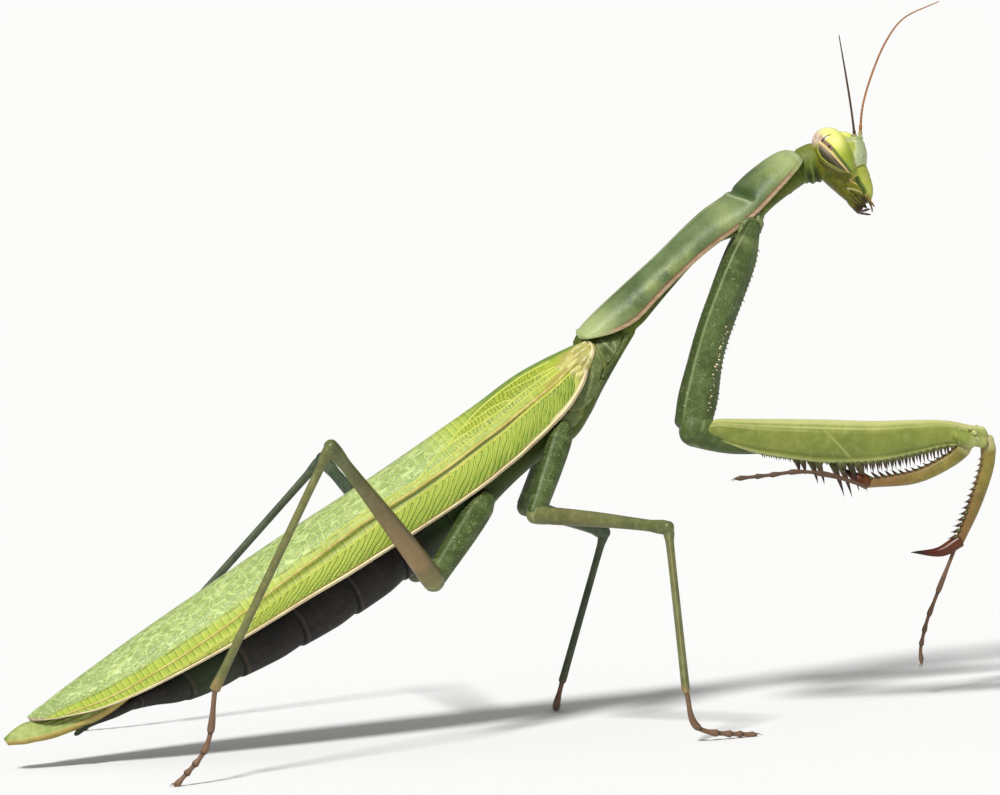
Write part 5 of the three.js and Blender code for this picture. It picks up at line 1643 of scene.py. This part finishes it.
def eyeGlobe(side, word):
    rows, around = 200, 280
    north = np.linspace(-math.pi / 2, math.pi / 2, rows + 2)[1:-1][:, None]
    east = turns(around)
    up = np.sin(north) + 0 * east
    broad = (1 + eyeSizes["taper"] * up) * np.cos(north)
    ahead, out = np.cos(east) * broad, np.sin(east) * broad * side
    points = offPose(headPose, eyePoints(side, east, north))
    foot = np.clip(-up, 0, 1) ** 2
    points[..., 0] += 0.3 * foot + 0.12 * np.clip(ahead, 0, 1) * (1 - foot)
    points[..., 2] -= 0.2 * foot + 0.13 * np.clip(up, 0, 1) ** 3
    outside = ease(out, -0.1, 0.12)
    _, rimAlong = nearLine(ahead, up, eyeMarks["rim"])
    stripeAt, rimAt = (np.interp(up, *np.array(eyeMarks[key])[::-1, ::-1].T) for key in ("stripe", "rim"))
    inLens = ease(ahead - rimAt, 0, 0.06) * fade(ahead - stripeAt, -0.06, 0.02) * fade(up, 0.46, 0.53)
    cream = drawn(ahead, up, eyeMarks["stripe"], 0.075, 0.35) * outside
    slit = drawn(ahead, up, eyeMarks["slit"], 0.04, 0.6) * outside
    dot = speckle((ahead - eyeMarks["dot"][0]) * 0.64, up - eyeMarks["dot"][1], 0.055) * outside
    values = {
        "low": ease(-up + 0.35 * ahead, -0.05, 0.75),
        # painted highlight over the top of the eye and on a spot at its front
        "paintedHighlight": np.clip(ease(up + 0.25 * ahead, 0.55, 0.95) * 0.75
                        + 0.85 * bump(np.hypot(ahead - 0.62, up - 0.2), 0, 0.34), 0, 1),
        "olive": np.clip(1 - ease(ahead - rimAt, -0.06, 0.02), 0, 1) * fade(up, 0.42, 0.6),
        "umber": inLens * outside,
        "sheen": bump(ahead - stripeAt, -0.1, 0.13) * ease(up, -0.55, 0.15)
        + 0.25 * bump(ahead - stripeAt, -0.22, 0.12),
        "rim": drawn(ahead, up, eyeMarks["rim"], 0.045) * outside * (0.12 + 0.7 * fade(rimAlong, 0.15, 0.5)),
        "shade": (0.85 * drawn(ahead, up, eyeMarks["shade"], 0.11, 0.1)
                  + 0.9 * drawn(ahead, up, [(a + 0.08, b) for a, b in eyeMarks["rim"]], 0.04)) * outside,
        "cap": ease(up + 0.12 * ahead, 0.38, 0.58) * fade(ahead + 0.5 * (up - 0.55), 0.02, 0.55)
        * (1 - 0.25 * ease(up, 0.9, 1)),
        "plum": np.clip(drawn(ahead, up, eyeMarks["patch"], 0.14) * outside
                        + 0.55 * ease(-ahead - 0.3 * (up - 0.6), 0.38, 0.7) * ease(up, 0.42, 0.56), 0, 1),
        "cream": cream,
        "slit": np.maximum(slit, dot),
    }
    lift = 0.012 * cream - 0.02 * slit - 0.012 * values["shade"]
    points = points + unit(points - eyeCentre(side)) * lift[..., None]
    globe = ringShell("eye_" + word + "_globe", inPose(headPose, *np.moveaxis(points, -1, 0)), values)
    return finished(globe, eyeGreen, "eye", "eye_" + word)


for word, side in sides:
    eyeGlobe(side, word)
print("eyes made")

headHalf = smooth((-4.5, 0.6), (-4, 0.78), (-3, 1.18), (-1.8, 1.72), (-0.5, 1.95), (0.8, 1.85), (1.4, 1.25),
                  (1.8, 0.6))
headFace = smooth((-4.5, 1.4), (-3.6, 1.86), (-2.6, 2.02), (-1.4, 2.02), (-0.9, 2.22), (-0.2, 2.34), (0.45, 2.2),
                  (1.1, 1.45), (1.8, 0.4))
headBack = smooth((-4.5, 0), (-3.5, -0.65), (-2.9, -1.0), (-1.8, -1.6), (-1.2, -1.75), (0, -1.8), (1, -1.5),
                  (1.8, -0.6))
headSizes = {
    "voxel": 0.052,  # mm
    "shield": (1.36, -1.5, 0.36),  # half width, lower edge, upper edge
    "labrum": (0.72, -2.62, -4.35),  # half width, its top, its tip
    "jaw": [(0.3, 1.12, -2.5), (0.85, 0.98, -3.35), (1.08, 0.62, -4.15)],
    "maxilla": [(0.15, 0.72, -3.3), (0.5, 0.66, -4.0), (0.78, 0.42, -4.72)],
}


def inHead(*spots):
    return [inPose(headPose, *spot) for spot in spots]


def headFinish():
    # yellow-green, with a pale blue-green shield, olive cheeks, gold edges, painted shade in the hollows and grooves,
    # some painted glint under the jaw, and striped mouth
    material, shader = finishTree("headGreen")
    cloud, mottle, fine = specks(520, 3), specks(2000, 4, 0.6), specks(5600, 3, 0.6)
    tint = painted(
        mixed(cloud, (0.26, 0.32, 0.035), (0.5, 0.54, 0.1)), (between(mottle, 0.5, 0.68, 0, 0.6), (0.56, 0.56, 0.13)),
        ("olive", mottle, (0.045, 0.052, 0.002), (0.2, 0.19, 0.008)),
        ("frost", mottle, (0.32, 0.41, 0.19), (0.6, 0.65, 0.38)),
        ("lime", cloud, (0.6, 0.66, 0.06), (0.82, 0.82, 0.14)), (between(fine, 0.56, 0.74, 0, 0.3), (0.5, 0.52, 0.2)),
        ("paintedHollowShade", mottle, (0.03, 0.06, 0.006), (0.11, 0.16, 0.02)),
        ("gold", mottle, (0.5, 0.36, 0.07), (0.82, 0.68, 0.25)),
        (times(field("white"), between(mottle, 0.36, 0.56)), mottle, (0.5, 0.52, 0.3), (0.8, 0.8, 0.6)),
        ("dark", mottle, (0.012, 0.008, 0.004), (0.06, 0.035, 0.015)))
    coat(shader, tint, fine, (0.3, 0.75, 0.32, 0.5), 0.24, sums("ADD", fine, mottle), 0.35, 0.00004, 0.08)
    return material


headGreen = headFinish()


def headShell():
    z = column(-4.45, 1.7, 110)
    angle = turns(110)
    level, height = np.cos(angle), np.sin(angle)
    middle, half = halfway(headFace(z), headBack(z))
    square = 1 - 0.42 * ease(-level, -0.3, 0.5) * ease(z, -2.6, -0.8)
    deep = half * np.sign(level) * np.abs(level) ** square
    wide = headHalf(z) * np.sign(height) * np.abs(height) ** square
    return ringShell("head_part", inPose(headPose, middle + deep, wide, z))


def labrum():
    # the soft upper lip: a rounded tongue down the front of the mouth
    half, top, tip = headSizes["labrum"]
    line = inHead((1.2, 0, top + 0.5), (1.3, 0, top - 0.5), (1.12, 0, tip + 0.35), (1.0, 0, tip + 0.1))
    wide = smooth((0, half * 0.8), (0.4, half), (0.8, half * 0.86), (1, half * 0.55))
    deep = smooth((0, 0.7), (0.5, 0.68), (0.85, 0.58), (1, 0.4))
    return limb("labrum_part", line, oval(wide, deep), 40, 40, (0.2, 0.25), tuple(headPose[0][:, 0]))


def mouthSide(side):
    made = []
    for word, half, caps in (("jaw", smooth((0, 0.42), (0.5, 0.38), (1, 0.2)), (0.3, 0.2)),
                             ("maxilla", smooth((0, 0.4), (0.6, 0.3), (1, 0.14)), (0.2, 0.15))):
        line = inHead(*[(x, side * y, z) for x, y, z in headSizes[word]])
        made.append(limb(word + "_part", line, oval(half), 28, 36, caps))
    root, above = np.array(antennaSizes["right" if side < 0 else "left"][:2])
    seat = [root - unit(above - root) * 0.55, root + unit(above - root) * 0.1]
    socket = smooth((0, 0.42), (0.45, 0.33), (0.7, 0.23), (0.88, 0.29), (1, 0.26))
    made.append(limb("socket_part", seat, oval(socket), 28, 30, (0.2, 0.1)))
    dome = inHead((1.5, side * 0.33, 0.85), (1.66, side * 0.36, 1.08))
    made.append(limb("ocellus_part", dome, oval(lambda t: 0.16), 20, 12, (0.1, 0.12)))
    return made


def headSculpt():
    chin = limb("chin_part", inHead((-0.05, 0, -2.9), (0.1, 0, -4.1), (0.38, 0, -4.72)),
                oval(smooth((0, 0.4), (0.5, 0.5), (1, 0.34))), 28, 30, (0.2, 0.2))
    nape = limb("nape_part", inHead((-1.2, 0, -0.2), (-2.0, 0, -0.25)),
                oval(lambda t: 1.35 - 0.15 * t), 40, 20, (0.2, 0.3))
    parts = [headShell(), labrum(), chin, nape] + mouthSide(-1) + mouthSide(1)
    head = remeshed(united("head_capsule", parts), headSizes["voxel"], 4)
    mesh = head.data
    points = offPose(headPose, pointsOf(mesh))
    facing = np.empty(points.size)
    mesh.vertex_normals.foreach_get("vector", facing)
    facing = facing.reshape(-1, 3) @ headPose[0]
    x, y, z = points.T
    s = np.abs(y)  # how far from the midline
    front = ease(x, 0.7, 1.25)
    half, low, high = headSizes["shield"]
    edge = np.minimum(np.minimum(half - 0.3 * ease(z, -0.5, 0.4) - s, (z - low + 0.1 * s ** 2)),
                      (high - z) * 1.2 + 0.3 * s)
    shield = ease(edge, -0.03, 0.12) * front
    shieldLine = bump(edge, 0.0, 0.065) * front * ease(z, -1.9, -1.4) * fade(z, 0.35, 0.6)
    browGroove = bump(z - low + 0.1 * s ** 2 + 0.06, 0, 0.06) * front * fade(s, 1.2, 1.45)
    lipTop = headSizes["labrum"][1]
    lipGroove = bump(z - lipTop, 0, 0.05) * front * fade(s, 0.75, 0.95)
    hollow = drawn(s, z, [(1.28, -2.5), (1.12, -2.9), (0.93, -3.35), (0.74, -3.8)], 0.17) * ease(x, 0.95, 1.15)
    jawEdge = drawn(s, z, [(1.5, -2.42), (1.36, -2.68), (1.14, -3.15), (0.96, -3.55)], 0.06)
    jawEdge = jawEdge * ease(x, 0.5, 0.7) * fade(x, 1.35, 1.5)
    spur = drawn(x, z, [(0.72, -2.46), (1.0, -2.36), (1.24, -2.26)], 0.05) * ease(s, 1.1, 1.3)
    cheekLine = drawn(x, z, [(-0.3, -2.2), (0.3, -2.5), (0.72, -2.46)], 0.05) * ease(s, 0.9, 1.1)
    underJaw = drawn(x, z, [(0.15, -3.02), (0.5, -3.16), (0.9, -3.44), (1.15, -3.7)], 0.07) * ease(s, 0.6, 0.8)
    mouthZone = ease(-z - 0.55 * (x - 0.2), 3.3, 3.6) * ease(x, 0.1, 0.3) * fade(x, 1.15, 1.3) * ease(s, 0.25, 0.4)
    lean = x - 0.35 - (-z - 3.4) * 0.42
    stripes = (0.5 + 0.5 * np.sin(lean * 21)) * mouthZone
    temple = drawn(x, z, [(-1.75, 0.5), (-1.32, -0.35), (-0.9, -1.0), (-0.7, -1.3)], 0.09, 0.5) * ease(s, 0.3, 0.5)
    notch = speckle(x + 1.0, (z + 1.55) * 0.8, 0.3)
    local = np.stack([x, s, z], -1) - eyeCentre(1)
    tilt = math.radians(eyeSizes["lean"])
    local = local @ np.array(Matrix.Rotation(tilt / 2, 3, "X") @ Matrix.Rotation(-tilt, 3, "Y"))
    eyeGap = np.sqrt(((local / np.array(eyeSizes["half"])) ** 2).sum(axis=-1)) - 1
    socketRim = bump(eyeGap, 0.11, 0.05)
    crown = bump(s, 0.55, 0.06) * ease(z, 0.7, 1.0) * (x < 1.6)
    lift = (0.1 * shield - 0.03 * shield * bump(s, 0.0, 0.45) + 0.02 * shieldLine - 0.09 * browGroove
            - 0.05 * lipGroove - 0.15 * hollow + 0.06 * jawEdge + 0.04 * spur - 0.04 * cheekLine
            + 0.03 * underJaw - 0.05 * stripes + 0.02 * temple - 0.08 * notch + 0.03 * socketRim - 0.04 * crown)
    points = points + facing * lift[:, None]
    mesh.vertices.foreach_set("co", toScene(inPose(headPose, *points.T)).ravel())
    olive = ease(1.15 - x - 0.28 * (z + 2), 0.0, 0.55) * fade(z, -0.4, 0.8)
    nearDot = speckle(s - 0.62, z + 0.95, 0.055) * front
    gap = speckle(x - 1.08, (z + 4.22) * 0.7, 0.16) * ease(s, 0.3, 0.5)
    values = {
        "olive": olive,
        "frost": np.clip(shield + 0.7 * ease(z, 0.3, 0.6) * front * fade(z, 0.9, 1.2), 0, 1),
        "lime": ease(z, 0.75, 1.15) * fade(x, 1.55, 1.8) * ease(x, -1.6, -0.6),
        # painted shade in the hollows, the notch, the brow groove and round the eye
        "paintedHollowShade": np.clip(hollow + 0.8 * notch + 0.45 * browGroove + 0.25 * bump(eyeGap, 0.02, 0.05)
                        * ease(x, 0.4, 1.0), 0, 1),
        "gold": np.clip(jawEdge + 0.4 * underJaw + 0.7 * spur + 0.12 * temple + 0.2 * cheekLine
                        + 0.45 * shieldLine * (z < -1.2), 0, 1),
        # the whitish line under the jaw and the spot at its start are partly the head's own colour and partly painted
        # glint
        "white": np.clip(shieldLine * (z > -1.3) * (s > 0.9) + 0.3 * underJaw
                         + 0.8 * speckle(x - 0.21, z + 3.06, 0.09) + 0.12 * socketRim, 0, 1),
        "dark": np.clip(stripes * 0.95 + speckle(x - 0.29, z + 2.56, 0.085) * ease(s, 0.8, 1.0) + nearDot + gap
                        + 0.75 * ease(-z, 4.35, 4.7) * fade(x, 1.1, 1.3), 0, 1),
    }
    for key, data in values.items():
        mark(mesh, key, data)
    mesh.update()
    return finished(head, headGreen, "green", "head")


antennaSizes = {
    "joints": 46,
    "right": [(29.8, -1.1, 46.3), (29.5, -1.6, 48.6), (29.0, -2.6, 51.1), (28.1, -4.6, 54.7)],
    "left": [(30.5, 0.2, 46.2), (31.0, 0.9, 48.7), (32.1, 1.9, 51.2), (33.7, 3.1, 53.8),
             (35.6, 4.2, 55.6), (38.8, 5.6, 56.7)],
}
headSculpt()
print("head made")


def palp(*spots, thick=0.13, deep=0.1):
    # a jointed feeler of the mouth
    knuckles = len(spots) - 1
    half = lambda t: thick * (1 - 0.35 * t) * (0.82 + 0.24 * np.abs(np.sin(t * math.pi * knuckles)))
    return limb("palp", inHead(*spots), oval(half), 16, 60, (0.08, 0.1), values=blank(brown=0.5, deep=deep))


palpsLow = [palp((-0.05, side * 0.3, -4.5), (0.18, side * 0.5, -4.98), (0.5, side * 0.58, -5.2),
                 (0.86, side * 0.6, -5.38), thick=0.11, deep=0.75) for side in (-1, 1)]
palpsLow += [palp((0.3, side * 0.12, -4.7), (0.5, side * 0.2, -4.98), (1.02, side * 0.3, -5.0), thick=0.095,
                  deep=0.75) for side in (-1, 1)]
palpsFront = [palp((1.15, -0.6, -3.95), (1.4, -0.66, -4.15), (1.5, -0.62, -4.5), (1.62, -0.52, -4.98), thick=0.11),
              palp((1.1, 0.4, -4.1), (1.2, 0.4, -4.5), (1.26, 0.3, -4.85), (1.22, 0.2, -5.25), thick=0.1)]
for part in palpsFront:
    dressed(part, "tibia")
for part in palpsLow:
    dressed(part, "foot")
mouth = joined("mouth_and_palps", palpsLow + palpsFront)
finished(mouth, list(skinFinishes.values()), "tan", "mouthparts")

# the right antenna is darkened and less tan than the left one: painted shade
for word, warm, antennaShade in (("right", 0.2, 0.55), ("left", 0.95, 0.0)):
    half = smooth((0, 0.17), (0.03, 0.18), (0.045, 0.12), (0.06, 0.15), (0.075, 0.1), (0.5, 0.085), (1, 0.04))
    reach = lambda t: half(t) * (1 + 0.07 * np.sin(t * 2 * math.pi * antennaSizes["joints"]))
    shade = blank(brown=warm, deep=antennaShade, pale=lambda t, a: 0.8 * fade(t, 0.02, 0.05))
    whip = limb("antenna_" + word + "_whip", antennaSizes[word], oval(reach), 14, 280, (0.1, 0.1), values=shade)
    finished(whip, antennaBrown, "tan", "antenna_" + word)
print("antennae and mouth made")
